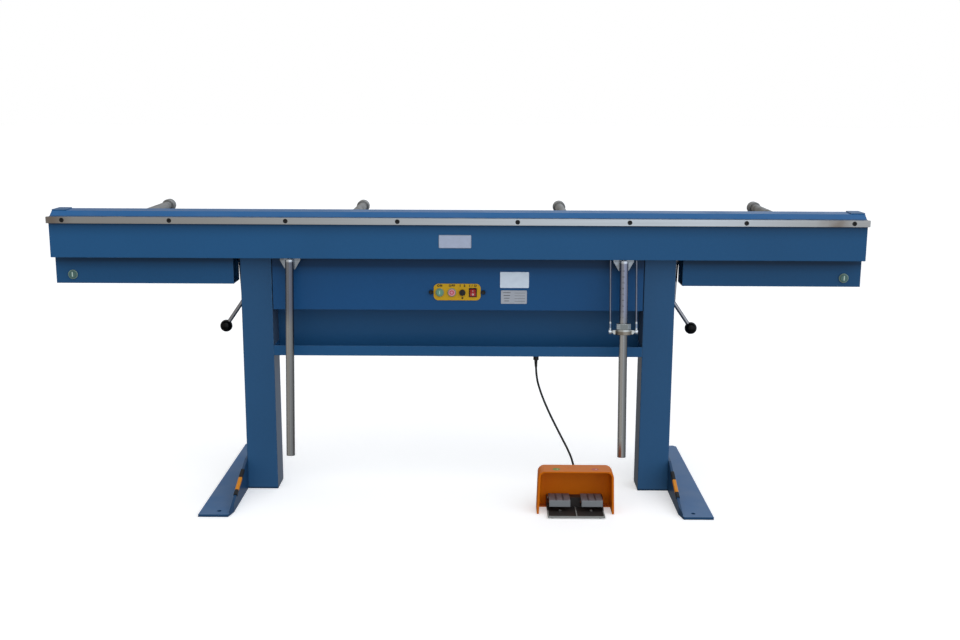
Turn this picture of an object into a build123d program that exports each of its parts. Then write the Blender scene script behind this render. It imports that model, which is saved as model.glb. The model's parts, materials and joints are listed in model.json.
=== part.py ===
from build123d import *
import os
from math import atan2, cos, hypot, pi, radians, sin, tan

# Driving sizes in millimetres: X along the bed, Y to the rear, Z up from the floor
# Y is counted from the bending strip's front face, and the finished parts are moved to the frame's origin
strip_length = 2590.0
strip_depth = 10.0
strip_height = 20.5
beam_length = 2581.0
beam_depth = 12.0
beam_height = 130.0
bed_top = 913.5
bed_length = 2584.0
bed_height = 78.5
pole_width = 24.0
slot_width = 23.0
centre_pole_width = 26.0
base_thickness = 18.0
beam_gap = 2.0
column_size = 100.0
column_wall = 5.0
column_outer_x = 700.5
column_front = 60.0
sheet = 2.0

# Stand: feet, guards, panel, tray and end boxes
saddle_thickness = 12.0
foot_front = -205.0
foot_rear = 532.0
foot_width = 103.5
foot_plate = 8.0
web_height = 104.0
web_tip_height = 12.0
foot_corner = 10.0
foot_toe_cut = 10.0
foot_toe_run = 44.0
floor_hole_radius = 7.0
floor_hole_x = 745.0
floor_hole_ys = (-173.0, 326.0)
foot_bolt_radius = 6.0
foot_bolt_flats = 18.0
foot_bolt_head = 7.5
foot_bolt_ys = (85.0, 135.0)
foot_bolt_z = 60.0
foot_bolt_room = 0.3
guard_width = 12.0
guard_height = 11.0
guard_above_edge = 4.0
guard_corner = 3.0
guard_room = 0.1
guard_ys = (2.0, -38.0, -97.0, -120.0)
panel_bottom = 610.0
panel_gap = 2.5
panel_flange = 25.0
floor_lap = 6.0
cover_flange = 28.0
tray_bottom = 457.0
tray_lip = 33.0
box_inner_x = 722.0
box_outer_x = 1293.0
box_front = 55.0
box_rear = 140.0
box_bottom = 694.0

# Magnet coil and the pieces that close the bed
coil_clearance = 2.0
coil_height = 40.0
coil_end_room = 14.0
centre_pole_end_gap = 50.0
end_block_length = 52.0
slot_cover_height = 10.5
slot_cover_drop = 0.5

# Hinge of the beam: half-round journals turning in half cups, on an axis at bed height
hinge_ahead_of_bed = 1.0
hinge_xs = (0.0, 365.0, 724.0, 1077.0)
journal_radius = 7.0
journal_length = 60.0
journal_room = 0.6
cup_fit = 0.05
cup_wall = 4.45
cup_length = 40.0
cup_depth = 16.0
cup_room = 0.5
strip_screw_xs = (189.0, 541.0, 907.0, 1245.0)
screw_head_radius = 7.4
screw_shank_radius = 4.0

# Handles: pipes that lean towards the operator at the bottom
handle_lean = 7.0
handle_xs = (-533.0, 527.5)
handle_top_y = 8.5
handle_top_z = 780.0
handle_length = 627.0
pipe_radius = 13.5
pipe_wall = 3.0
gusset_width = 65.0
gusset_tip_width = 31.0
gusset_thickness = 6.0
gusset_top = 812.0
gusset_reach = 31.0

# Angle stop on the right handle
yoke_along = 224.5
yoke_height = 16.0
yoke_radius = 26.0
yoke_half_span = 35.0
trunnion_half_span = 37.0
trunnion_radius = 4.0
collar_width = 45.0
collar_height = 18.0
collar_chamfer = 10.0
stop_gap = 1.0
slide_fit = 0.08
rod_half_span = 41.25
rod_radius = 3.0
rod_shank_radius = 4.0
rod_shank_length = 26.0
rod_eye_radius = 8.0
rod_foot_radius = 7.0
rod_eye_thickness = 5.5
rod_foot_thickness = 7.0
rod_nut_flats = 13.0
rod_nut_height = 1.5
stop_pivot_y = 34.0
stop_pivot_z = 825.0
stop_pin_radius = 4.0
bracket_half_span = 34.0
rod_scallop_width = 12.0
rod_scallop_depth = 8.0
rod_scallop_height = 26.5
rod_slot_depth = 11.0

# Clamp bar and its lift
clamp_length = 2580.0
clamp_thickness = 15.0
clamp_nose_y = 25.5
clamp_nose_flat = 0.8
clamp_top_front_y = 47.0
clamp_rear_y = 126.0
end_cap_thickness = 4.0
end_cap_flange = 3.0
end_cap_front_reach = 47.5
end_cap_rear_reach = 39.5
end_cap_cut_x = 3.0
end_cap_cut_y = 9.0
lift_height = 38.0
lift_swing = 60.0
shaft_y = 127.0
shaft_z = 770.0
shaft_radius = 10.0
shaft_end_x = 719.5
shaft_fit = 0.06
bush_radius = 14.0
bush_length = 10.0
bush_proud = 2.0
arm_thickness = 16.0
arm_hub_radius = 17.0
arm_tip_radius = 8.0
pin_y = 84.0
pin_radius = 7.0
pin_ring_radius = 11.0
pin_ring_height = 6.0
pin_ring_rise = 14.0
pin_gap = 1.0
pin_top_gap = 0.3
lever_hub_radius = 17.0
lever_hub_inner_x = 704.0
lever_root_x = 713.3
lever_radius = 6.5
lever_bend_x = 707.3
lever_bend_z = 628.8
lever_splay = 34.7
lever_grip = 106.5
ball_radius = 20.0

# Backstop rods behind the bed
backstop_xs = (-1052.0, -352.0, 352.0, 1052.0)
backstop_radius = 15.5
backstop_end_y = 555.0
backstop_cap_radius = 22.0
backstop_cap_length = 10.0
stop_collar_length = 20.0
stop_collar_gap = 2.0

# Controls on the front panel and on the end boxes
plate_x0 = -78.0
plate_x1 = 73.5
plate_z0 = 643.0
plate_z1 = 697.0
plate_corner = 15.0
plate_thickness = 2.5
control_z = 669.0
start_x = -58.6
stop_x = -19.5
selector_x = 14.5
rocker_x = 48.5
bezel_radius = 13.5
bezel_depth = 5.0
button_radius = 11.0
button_proud = 3.5
button_stem_radius = 6.0
button_room = 0.4
stem_depth = 14.0
end_button_x = 1238.5
end_button_z = 722.5
end_bezel_radius = 15.0
end_button_radius = 12.0
selector_radius = 10.0
selector_depth = 8.0
selector_ridge = 5.0
selector_stem_radius = 4.0
rocker_bezel_width = 25.0
rocker_bezel_height = 29.5
rocker_bezel_depth = 2.5
rocker_width = 18.0
rocker_height = 21.6
rocker_rest_tilt = 8.0
rocker_room = 1.0

# Foot switch on the floor, with its cable
switch_x0 = 287.0
switch_x1 = 466.0
switch_front = -205.0
switch_rear = -84.0
switch_foot = 3.0
switch_top = 8.5
switch_rim = 3.5
bay_floor = 5.0
bay_rear = -112.0
divider_x = 378.0
divider_half = 1.5
cheek_top = 38.0
cheek_top_front = -108.0
cheek_front = -160.0
lug_x0 = 361.0
lug_x1 = 394.0
lug_top = 37.0
pad_radius = 8.0
pad_inset = 14.0
hood_x0 = 254.5
hood_x1 = 498.1
hood_front = -163.0
hood_rear = -74.0
hood_top = 140.0
hood_wall = 4.0
hood_cheek = 6.5
hood_flare = 1.7
hood_corner = 20.0
hood_plan_corner = 26.0
hood_flange = 3.0
hood_flange_front = -100.0
pedal_width = 66.0
pedal_xs = (293.5, 395.5)
pedal_front = -162.0
pedal_rear = -88.0
pedal_front_z = (24.0, 44.5)
pedal_rear_z = (24.0, 41.5)
pedal_edge = 1.5
pedal_pivot_y = -96.0
pedal_pivot_z = 31.0
pedal_pin_radius = 3.0
pedal_fit = 0.06
groove_width = 3.0
groove_depth = 1.5
groove_margin = 9.0
cable_radius = 3.5
gland_radius = 9.0
gland_flats = 20.0
gland_proud = 20.0
switch_gland_x = 388.0
switch_gland_z = 22.0
switch_gland_end = -55.0

# Sizes that follow from the ones above
half_strip = strip_length / 2
half_bed = bed_length / 2
bed_bottom = bed_top - bed_height
beam_front = strip_depth
beam_rear = strip_depth + beam_depth
beam_bottom = bed_top - beam_height
bed_front = beam_rear + beam_gap
bed_rear = bed_front + 2 * pole_width + 2 * slot_width + centre_pole_width
bed_middle = (bed_front + bed_rear) / 2
base_top = bed_bottom + base_thickness
hinge_y = bed_front - hinge_ahead_of_bed
hinge_z = bed_top
column_inner_x = column_outer_x - column_size
column_middle_x = column_outer_x - column_size / 2
column_rear = column_front + column_size
cover_rear = column_rear - sheet
panel_half = column_inner_x - panel_gap
clamp_top = bed_top + clamp_thickness
lift_arm = lift_height / (2 * sin(radians(lift_swing / 2)))
web_outer_x = column_outer_x + foot_plate
foot_bolt_hole = foot_bolt_radius + foot_bolt_room
middle_y = (switch_front + backstop_end_y) / 2
nodes = {}


# Shapes that many pieces share
def block(x0, x1, y0, y1, z0, z1):
    """Box between two opposite corners."""
    return Pos((x0 + x1) / 2, (y0 + y1) / 2, (z0 + z1) / 2) * Box(x1 - x0, y1 - y0, z1 - z0)


def bar_x(radius, x0, x1, y, z):
    """Round bar along X."""
    return Pos((x0 + x1) / 2, y, z) * Rot(Y=90) * Cylinder(radius, x1 - x0)


def bar_y(radius, y0, y1, x, z):
    """Round bar along Y."""
    return Pos(x, (y0 + y1) / 2, z) * Rot(X=90) * Cylinder(radius, y1 - y0)


def bar_z(radius, z0, z1, x, y):
    """Round bar along Z."""
    return Pos(x, y, (z0 + z1) / 2) * Cylinder(radius, z1 - z0)


def outline(points):
    """Polygon whose points run counter-clockwise."""
    ring = list(zip(points, points[1:] + points[:1]))
    area = sum(a[0] * b[1] - b[0] * a[1] for a, b in ring)
    return Polygon(*(points if area > 0 else points[::-1]), align=None)


def side_profile(points, x0, x1):
    """Outline in Y and Z, drawn out along X."""
    return extrude(Plane.YZ.offset(x0) * outline(points), amount=x1 - x0)


def front_profile(points, y0, y1):
    """Outline in X and Z, drawn out along Y."""
    return extrude(Plane.XZ.offset(-y1) * outline(points), amount=y1 - y0)


def plan_profile(points, z0, z1):
    """Outline in X and Y, drawn out along Z."""
    return extrude(Plane.XY.offset(z0) * outline(points), amount=z1 - z0)


def hexagon(plane, flats, height):
    """Hexagonal head that stands on a plane."""
    return extrude(plane * RegularPolygon(flats / 3 ** 0.5, 6), amount=height)


def other_side(shape):
    """The same piece on the left of the machine."""
    return mirror(shape, about=Plane.YZ)


def group(shapes):
    """Separate solids kept in one node."""
    solids = [solid for shape in shapes for solid in shape.solids()]
    return Compound(children=solids)


def pair(shape):
    """A right-hand piece with its left-hand twin."""
    return group([other_side(shape), shape])


def symmetric(positions):
    """Positions on both sides of the middle, without doubling zero."""
    return sorted({side * x for x in positions for side in (-1, 1)})


# Columns: square tubes closed by a saddle plate that carries the bed
column = block(column_inner_x, column_outer_x, column_front, column_rear, 0, bed_bottom)
column -= block(
    column_inner_x + column_wall, column_outer_x - column_wall,
    column_front + column_wall, column_rear - column_wall, -1, bed_bottom - saddle_thickness)
column -= bar_x(bush_radius, column_inner_x - 1, column_outer_x + 1, shaft_y, shaft_z)
column -= bar_z(pin_radius + shaft_fit, bed_bottom - 2 * saddle_thickness, bed_top, column_middle_x, pin_y)
for bolt_y in foot_bolt_ys:
    column -= bar_x(foot_bolt_hole, column_middle_x, column_outer_x + 1, bolt_y, foot_bolt_z)
nodes["column_left"] = other_side(column)
nodes["column_right"] = column

# Feet: flat plates with a sloped web bolted to the columns' outer sides
foot_outer_x = column_outer_x + foot_width
foot = plan_profile([
    (column_outer_x, foot_front), (foot_outer_x, foot_front), (foot_outer_x, foot_rear - foot_corner),
    (foot_outer_x - foot_corner, foot_rear), (column_outer_x, foot_rear)], 0, foot_plate)
foot += side_profile([
    (foot_front, 0), (foot_front, web_tip_height), (column_front, web_height),
    (column_rear, web_height), (foot_rear, web_tip_height), (foot_rear, 0)], column_outer_x, web_outer_x)
foot -= plan_profile([
    (column_outer_x, foot_front), (column_outer_x + foot_toe_cut, foot_front),
    (column_outer_x, foot_front + foot_toe_run)], -1, web_height)
for hole_y in floor_hole_ys:
    foot -= bar_z(floor_hole_radius, -1, foot_plate + 1, floor_hole_x, hole_y)
for bolt_y in foot_bolt_ys:
    foot -= bar_x(foot_bolt_hole, column_outer_x - 1, web_outer_x + 1, bolt_y, foot_bolt_z)
nodes["foot_left"] = other_side(foot)
nodes["foot_right"] = foot

foot_bolts = []
for bolt_y in foot_bolt_ys:
    bolt = bar_x(foot_bolt_radius, column_outer_x - 2 * column_wall, web_outer_x, bolt_y, foot_bolt_z)
    head_plane = Plane(origin=(web_outer_x, bolt_y, foot_bolt_z), z_dir=(1, 0, 0))
    bolt += hexagon(head_plane, foot_bolt_flats, foot_bolt_head)
    foot_bolts += [bolt, other_side(bolt)]
nodes["foot_bolts"] = group(foot_bolts)

# Edge guards: slotted strips pushed over the webs' front slopes
web_rise = (web_height - web_tip_height) / (column_front - foot_front)
web_angle = atan2(web_rise, 1)


def guard(y0, y1):
    """Piece of the right edge guard between two places along Y."""
    start = (web_outer_x - foot_plate / 2, y0, web_height - (column_front - y0) * web_rise)
    edge = Plane(origin=start, x_dir=(1, 0, 0), z_dir=(0, -cos(web_angle), -sin(web_angle)))
    middle = guard_above_edge - guard_height / 2
    section = Pos(0, middle) * RectangleRounded(guard_width, guard_height, guard_corner)
    section -= Pos(0, guard_room - guard_height) * Rectangle(foot_plate + 2 * guard_room, 2 * guard_height)
    return extrude(edge * section, amount=(y0 - y1) / cos(web_angle))


upper_end = guard(guard_ys[0], guard_ys[1])
lower_end = guard(guard_ys[2], guard_ys[3])
nodes["edge_guard_sleeves"] = pair(guard(guard_ys[1], guard_ys[2]))
nodes["edge_guard_ends"] = group([upper_end, lower_end, other_side(upper_end), other_side(lower_end)])

# Front panel: folded sheet under the bed, with holes for the controls
panel_back = column_front + sheet
panel = block(-panel_half, panel_half, column_front, panel_back, panel_bottom, bed_bottom)
flange_rear = panel_back + panel_flange
panel += block(-panel_half, panel_half, column_front, flange_rear, panel_bottom, panel_bottom + sheet)
panel += block(-panel_half, panel_half, column_front, flange_rear, bed_bottom - sheet, bed_bottom)
for end_x in (-panel_half, panel_half - sheet):
    panel += block(end_x, end_x + sheet, column_front, flange_rear, panel_bottom, bed_bottom)
stem_hole = button_stem_radius + button_room
rocker_half_hole = rocker_width / 2 + rocker_room
rocker_half_rise = rocker_height / 2 + rocker_room


def control_holes():
    """Cut-outs for the switches, through the control plate and the panel."""
    back = panel_back + 1
    front = column_front - plate_thickness - 1
    holes = bar_y(stem_hole, front, back, start_x, control_z)
    holes += bar_y(stem_hole, front, back, stop_x, control_z)
    holes += bar_y(selector_stem_radius + button_room, front, back, selector_x, control_z)
    holes += block(
        rocker_x - rocker_half_hole, rocker_x + rocker_half_hole, front, back,
        control_z - rocker_half_rise, control_z + rocker_half_rise)
    return holes


nodes["front_panel"] = panel - control_holes()

# Rear cover: rear wall, cabinet floor and a top flange under the bed
mains_x = -450.0
mains_z = 680.0
floor_front = flange_rear - floor_lap
floor_z = panel_bottom + sheet
rear_top_front = cover_rear - cover_flange
rear_cover = block(-column_inner_x, column_inner_x, cover_rear - sheet, cover_rear, floor_z, bed_bottom)
rear_cover += block(
    -column_inner_x, column_inner_x, flange_rear, cover_rear, floor_z, floor_z + sheet)
floor_half = panel_half - sheet
rear_cover += block(-floor_half, floor_half, floor_front, cover_rear, floor_z, floor_z + sheet)
rear_cover += block(
    -column_inner_x, column_inner_x, rear_top_front, cover_rear, bed_bottom - sheet, bed_bottom)
rear_cover -= bar_y(gland_radius, cover_rear - 2 * sheet, cover_rear + 1, mains_x, mains_z)
nodes["rear_cover"] = rear_cover

# Tool tray: shelf with a low front lip and a high back wall
tray_gland_x = 257.0
tray_gland_y = 100.0
tray = block(-column_inner_x, column_inner_x, column_front, cover_rear, tray_bottom, tray_bottom + sheet)
tray += block(-column_inner_x, column_inner_x, column_front, panel_back, tray_bottom, tray_bottom + tray_lip)
tray += block(-column_inner_x, column_inner_x, cover_rear - sheet, cover_rear, tray_bottom, floor_z)
for end_x in (-column_inner_x, column_inner_x - sheet):
    tray += block(end_x, end_x + sheet, column_front, cover_rear, tray_bottom, tray_bottom + tray_lip)
tray -= bar_z(gland_radius, tray_bottom - 1, tray_bottom + 2 * sheet, tray_gland_x, tray_gland_y)
nodes["tool_tray"] = tray

# End boxes: sheet metal cases under both ends of the bed, open towards the columns
end_box = block(box_inner_x, box_outer_x, box_front, box_rear, box_bottom, bed_bottom)
end_box -= block(
    box_inner_x - 1, box_outer_x - sheet, box_front + sheet, box_rear - sheet,
    box_bottom + sheet, bed_bottom + 1)
end_box -= bar_y(stem_hole, box_front - 1, box_front + 2 * sheet, end_button_x, end_button_z)
nodes["end_box_left"] = other_side(end_box)
nodes["end_box_right"] = end_box

# Magnet bed: base bar and three poles, with pockets for the hinge cups
base_bevel = 3.0
base = side_profile([
    (bed_front + base_bevel, bed_bottom), (bed_rear, bed_bottom), (bed_rear, base_top),
    (bed_front, base_top), (bed_front, bed_bottom + base_bevel)], -half_bed, half_bed)
pin_hole = pin_radius + button_room
for side in (-1, 1):
    base -= bar_z(pin_hole, bed_bottom - 1, base_top + 1, side * column_middle_x, pin_y)
    rod_x = handle_xs[1] + side * rod_half_span
    base -= side_profile([
        (bed_front - 1, bed_bottom - 1), (bed_front + rod_slot_depth, bed_bottom - 1),
        (bed_front + rod_slot_depth, bed_bottom + 1), (bed_front - 1, base_top)],
        rod_x - rod_scallop_width / 2, rod_x + rod_scallop_width / 2)
nodes["bed_base"] = base

front_slot = bed_front + pole_width
centre_front = front_slot + slot_width
centre_rear = centre_front + centre_pole_width
rear_slot = centre_rear + slot_width
half_centre = half_bed - end_block_length - centre_pole_end_gap
cup_radius = journal_radius + cup_fit + cup_wall
front_pole = block(-half_bed, half_bed, bed_front, front_slot, base_top, bed_top)
for x in symmetric(hinge_xs):
    front_pole -= block(
        x - cup_length / 2, x + cup_length / 2, bed_front - 1, bed_front + cup_depth,
        bed_top - cup_depth, bed_top + 1)
    journal_half = journal_length / 2 + 1
    front_pole -= bar_x(journal_radius + journal_room, x - journal_half, x + journal_half, hinge_y, hinge_z)
nodes["front_pole"] = front_pole
centre_pole = block(-half_centre, half_centre, centre_front, centre_rear, base_top, bed_top)
for side in (-1, 1):
    centre_pole -= bar_z(pin_hole, base_top - 1, bed_top + 1, side * column_middle_x, pin_y)
nodes["centre_pole"] = centre_pole
nodes["rear_pole"] = block(-half_bed, half_bed, rear_slot, bed_rear, base_top, bed_top)

# Coil wound round the centre pole, the cover over its slots and the end blocks
coil_inner_x = 2 * (half_centre + coil_end_room)
coil_inner_y = centre_pole_width + 2 * coil_clearance
coil_side = slot_width - 2 * coil_clearance
coil_plane = Plane(origin=(0, bed_middle, base_top))
coil = RectangleRounded(coil_inner_x + 2 * coil_side, coil_inner_y + 2 * coil_side, coil_inner_y)
coil -= RectangleRounded(coil_inner_x, coil_inner_y, coil_inner_y / 2 - 1)
nodes["magnet_coil"] = extrude(coil_plane * coil, amount=coil_height)
cover_top = bed_top - slot_cover_drop
half_cover = half_bed - end_block_length
slot_cover = block(-half_cover, half_cover, front_slot, rear_slot, cover_top - slot_cover_height, cover_top)
slot_cover -= block(-half_centre, half_centre, centre_front, centre_rear, base_top, bed_top)
nodes["slot_cover"] = slot_cover
nodes["bed_end_blocks"] = pair(block(half_cover, half_bed, front_slot, rear_slot, base_top, bed_top))

# Hinges: half cups set in the front pole, half-round journals on the beam
above_bed = block(-half_strip, half_strip, -bed_height, bed_rear, bed_top, bed_top + bed_height)
cups = []
journals = []
for x in symmetric(hinge_xs):
    x0 = x - cup_length / 2
    x1 = x + cup_length / 2
    cup = bar_x(cup_radius, x0, x1, hinge_y, hinge_z)
    cup += block(x0, x1, bed_front, bed_front + cup_depth, bed_top - cup_depth, bed_top)
    cup -= bar_x(journal_radius + cup_fit, x0 - 1, x1 + 1, hinge_y, hinge_z)
    cups.append(cup - above_bed)
    journal = bar_x(journal_radius, x - journal_length / 2, x + journal_length / 2, hinge_y, hinge_z)
    journals.append(journal - above_bed)
nodes["hinge_cups"] = group(cups)
nodes["hinge_journals"] = group(journals)

# Bending beam with its strip and strip screws
half_beam = beam_length / 2
beam = block(-half_beam, half_beam, beam_front, beam_rear, beam_bottom, bed_top)
for x in symmetric(hinge_xs):
    room_x = cup_length / 2 + cup_room
    beam -= bar_x(cup_radius + cup_room, x - room_x, x + room_x, hinge_y, hinge_z)
    beam -= bar_x(journal_radius, x - journal_length / 2, x + journal_length / 2, hinge_y, hinge_z)
for side in (-1, 1):
    rod_x = handle_xs[1] + side * rod_half_span
    beam -= block(
        rod_x - rod_scallop_width / 2, rod_x + rod_scallop_width / 2,
        beam_rear - rod_scallop_depth, beam_rear + 1, beam_bottom - 1, beam_bottom + rod_scallop_height)
strip = block(-half_strip, half_strip, 0, strip_depth, bed_top - strip_height, bed_top)
screw_z = bed_top - strip_height / 2
screw_head_depth = 7.0
screw_end = beam_rear - 3.0
socket_flats = 6.0
screws = []
for x in symmetric(strip_screw_xs):
    strip -= bar_y(screw_head_radius, -1, screw_head_depth, x, screw_z)
    strip -= bar_y(screw_shank_radius, 0, strip_depth + 1, x, screw_z)
    beam -= bar_y(screw_shank_radius, beam_front - 1, screw_end, x, screw_z)
    screw = bar_y(screw_head_radius, 0, screw_head_depth, x, screw_z)
    screw += bar_y(screw_shank_radius, 0, screw_end, x, screw_z)
    socket = Plane(origin=(x, 0, screw_z), x_dir=(1, 0, 0), z_dir=(0, 1, 0))
    screws.append(screw - hexagon(socket, socket_flats, screw_head_depth / 2))
nodes["bending_beam"] = beam
nodes["bending_strip"] = strip
nodes["strip_screws"] = group(screws)

# Handles: leaning pipes, and gusset plates from the beam's rear to the pipes
lean = radians(handle_lean)


def on_handle(x, shape):
    """Place a shape drawn with Z down the pipe, X along the bed and Y to the operator."""
    axis = Plane(origin=(x, handle_top_y, handle_top_z), x_dir=(1, 0, 0), z_dir=(0, -sin(lean), -cos(lean)))
    return axis * shape


pipe = bar_z(pipe_radius, 0, handle_length, 0, 0)
pipe -= bar_z(pipe_radius - pipe_wall, -1, handle_length + 1, 0, 0)
nodes["handle_left"] = on_handle(handle_xs[0], pipe)
nodes["handle_right"] = on_handle(handle_xs[1], pipe)

gusset_seat = 0.7
gusset_overlap = 8.0
gussets = []
for x in handle_xs:
    lower = front_profile([
        (-gusset_width / 2, 2), (gusset_width / 2, 2), (gusset_tip_width / 2, gusset_reach),
        (-gusset_tip_width / 2, gusset_reach)],
        gusset_seat - pipe_radius - gusset_thickness, gusset_seat - pipe_radius)
    plate = block(
        x - gusset_width / 2, x + gusset_width / 2, beam_rear, beam_rear + gusset_thickness,
        beam_bottom - gusset_overlap, gusset_top)
    plate += on_handle(x, lower)
    gussets.append(plate - on_handle(x, bar_z(pipe_radius, -gusset_reach, handle_length, 0, 0)))
nodes["handle_gussets"] = group(gussets)

# Angle stop: yoke with side trunnions and a clamp collar that slide on the right handle
stop_x0 = handle_xs[1]
bore = bar_z(pipe_radius + slide_fit, -handle_length, handle_length, 0, 0)
yoke_top = yoke_along - yoke_height / 2
yoke_lug = 16.0
yoke_bevel = 5.0
yoke = bar_z(yoke_radius, yoke_top, yoke_top + yoke_height, 0, 0)
yoke += front_profile([
    (-yoke_half_span, yoke_top + 2), (yoke_half_span, yoke_top + 2),
    (yoke_half_span, yoke_along + 2), (yoke_half_span - yoke_bevel, yoke_along + 2 + yoke_bevel),
    (yoke_bevel - yoke_half_span, yoke_along + 2 + yoke_bevel), (-yoke_half_span, yoke_along + 2)],
    -yoke_lug / 2, yoke_lug / 2)
yoke += bar_x(trunnion_radius, -trunnion_half_span, trunnion_half_span, 0, yoke_along)
nodes["stop_yoke"] = on_handle(stop_x0, yoke - bore)
collar = chamfer(Box(collar_width, collar_width, collar_height).edges().filter_by(Axis.Z), collar_chamfer)
collar_along = yoke_top - stop_gap - collar_height / 2
nodes["stop_collar"] = on_handle(stop_x0, Pos(0, 0, collar_along) * collar - bore)

# Link rods from the bracket under the bed to the yoke's trunnions
trunnion_y = handle_top_y - yoke_along * sin(lean)
trunnion_z = handle_top_z - yoke_along * cos(lean)
rod_run_y = trunnion_y - stop_pivot_y
rod_run_z = trunnion_z - stop_pivot_z
rod_length = hypot(rod_run_y, rod_run_z)
rods = []
for side in (-1, 1):
    rod_axis = Plane(
        origin=(stop_x0 + side * rod_half_span, stop_pivot_y, stop_pivot_z),
        x_dir=(side, 0, 0), z_dir=(0, rod_run_y / rod_length, rod_run_z / rod_length))
    half_eye = rod_eye_thickness / 2
    half_foot = rod_foot_thickness / 2
    rod = bar_z(rod_radius, rod_eye_radius - 1, rod_length - rod_foot_radius, 0, 0)
    rod_foot = rod_length - rod_foot_radius + 1
    rod += bar_z(rod_shank_radius, rod_foot - rod_shank_length, rod_foot, 0, 0)
    rod += bar_x(rod_eye_radius, -half_eye, half_eye, 0, 0)
    rod += bar_x(rod_foot_radius, -half_foot, half_foot, 0, rod_length)
    nut_face = Plane(origin=(half_foot, 0, rod_length), x_dir=(0, 1, 0), z_dir=(1, 0, 0))
    rod += hexagon(nut_face, rod_nut_flats, rod_nut_height)
    rod -= bar_x(stop_pin_radius + cup_fit, -rod_eye_radius, rod_eye_radius, 0, 0)
    rods.append(rod_axis * rod)
nodes["link_rods"] = group(rods)

# Bracket that carries the link rods' upper pins
bracket_plate = 5.0
ear_width = 8.0
ear_front = 26.0
ear_rear = 44.0
bracket_rear = 58.0
bracket = block(
    stop_x0 - bracket_half_span, stop_x0 + bracket_half_span, ear_front, bracket_rear,
    bed_bottom - bracket_plate, bed_bottom)
for side in (-1, 1):
    ear_x = stop_x0 + side * (bracket_half_span - ear_width / 2)
    bracket += block(
        ear_x - ear_width / 2, ear_x + ear_width / 2, ear_front, ear_rear,
        stop_pivot_z - rod_eye_radius, bed_bottom)
pin_span = rod_half_span + rod_eye_thickness
pin_root = bracket_half_span - ear_width / 4
bracket += bar_x(stop_pin_radius, stop_x0 - pin_span, stop_x0 - pin_root, stop_pivot_y, stop_pivot_z)
bracket += bar_x(stop_pin_radius, stop_x0 + pin_root, stop_x0 + pin_span, stop_pivot_y, stop_pivot_z)
nodes["stop_bracket"] = bracket

# Clamp bar: flat bar with a bevelled nose, and end caps with a flange on top
half_clamp = clamp_length / 2
clamp_outline = [
    (clamp_nose_y, bed_top), (clamp_rear_y, bed_top), (clamp_rear_y, clamp_top),
    (clamp_top_front_y, clamp_top), (clamp_nose_y, bed_top + clamp_nose_flat)]
nodes["clamp_bar"] = side_profile(clamp_outline, -half_clamp, half_clamp)
cap_outer_x = half_clamp + end_cap_thickness
end_cap = side_profile(clamp_outline, half_clamp, cap_outer_x)
end_cap += plan_profile([
    (cap_outer_x, clamp_top_front_y), (cap_outer_x, clamp_rear_y),
    (cap_outer_x - end_cap_rear_reach, clamp_rear_y), (cap_outer_x - end_cap_front_reach, clamp_top_front_y)],
    clamp_top, clamp_top + end_cap_flange)
end_cap -= plan_profile([
    (cap_outer_x, clamp_nose_y), (cap_outer_x, clamp_top_front_y + end_cap_cut_y),
    (cap_outer_x - end_cap_cut_x, clamp_top_front_y), (cap_outer_x - end_cap_cut_x, clamp_nose_y)],
    bed_top - 1, clamp_top + end_cap_flange + 1)
nodes["clamp_end_caps"] = pair(end_cap)

# Lift: cross shaft with arms inside the columns, bushes, bent levers and ball knobs
arm_drop = radians(lift_swing / 2)
tip_y = shaft_y - lift_arm * cos(arm_drop)
tip_z = shaft_z - lift_arm * sin(arm_drop)
shaft = bar_x(shaft_radius, -shaft_end_x, shaft_end_x, shaft_y, shaft_z)
for side in (-1, 1):
    x0 = side * column_middle_x - arm_thickness / 2
    x1 = side * column_middle_x + arm_thickness / 2
    shaft += bar_x(arm_hub_radius, x0, x1, shaft_y, shaft_z)
    shaft += bar_x(arm_tip_radius, x0, x1, tip_y, tip_z)
    shaft += side_profile([
        (shaft_y - arm_tip_radius * sin(arm_drop), shaft_z + arm_tip_radius * cos(arm_drop)),
        (shaft_y + arm_tip_radius * sin(arm_drop), shaft_z - arm_tip_radius * cos(arm_drop)),
        (tip_y + arm_tip_radius * sin(arm_drop), tip_z - arm_tip_radius * cos(arm_drop)),
        (tip_y - arm_tip_radius * sin(arm_drop), tip_z + arm_tip_radius * cos(arm_drop))], x0, x1)
nodes["lift_shaft"] = shaft

bushes = []
for bush_x0 in (column_inner_x - bush_proud, column_outer_x + bush_proud - bush_length):
    bush = bar_x(bush_radius, bush_x0, bush_x0 + bush_length, shaft_y, shaft_z)
    bush -= bar_x(shaft_radius + shaft_fit, bush_x0 - 1, bush_x0 + bush_length + 1, shaft_y, shaft_z)
    bushes += [bush, other_side(bush)]
nodes["shaft_bushes"] = group(bushes)

splay = radians(lever_splay)
bend = (lever_bend_x, shaft_y, lever_bend_z)
upper_run = (lever_bend_x - lever_root_x, 0, lever_bend_z - shaft_z)
upper_axis = Plane(origin=(lever_root_x, shaft_y, shaft_z), x_dir=(0, 1, 0), z_dir=upper_run)
grip_axis = Plane(origin=bend, x_dir=(0, 1, 0), z_dir=(sin(splay), 0, -cos(splay)))
grip = grip_axis * bar_z(lever_radius, 0, lever_grip - ball_radius / 2, 0, 0)
lever = bar_x(lever_hub_radius, lever_hub_inner_x, shaft_end_x, shaft_y, shaft_z)
lever += upper_axis * bar_z(lever_radius, 0, hypot(upper_run[0], upper_run[2]), 0, 0)
lever += Pos(*bend) * Sphere(lever_radius)
lever += grip
lever -= bar_x(shaft_radius, lever_hub_inner_x - 1, shaft_end_x + 1, shaft_y, shaft_z)
nodes["lift_levers"] = pair(lever)
ball = grip_axis * Pos(0, 0, lever_grip) * Sphere(ball_radius)
nodes["ball_knobs"] = pair(ball - grip)

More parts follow.
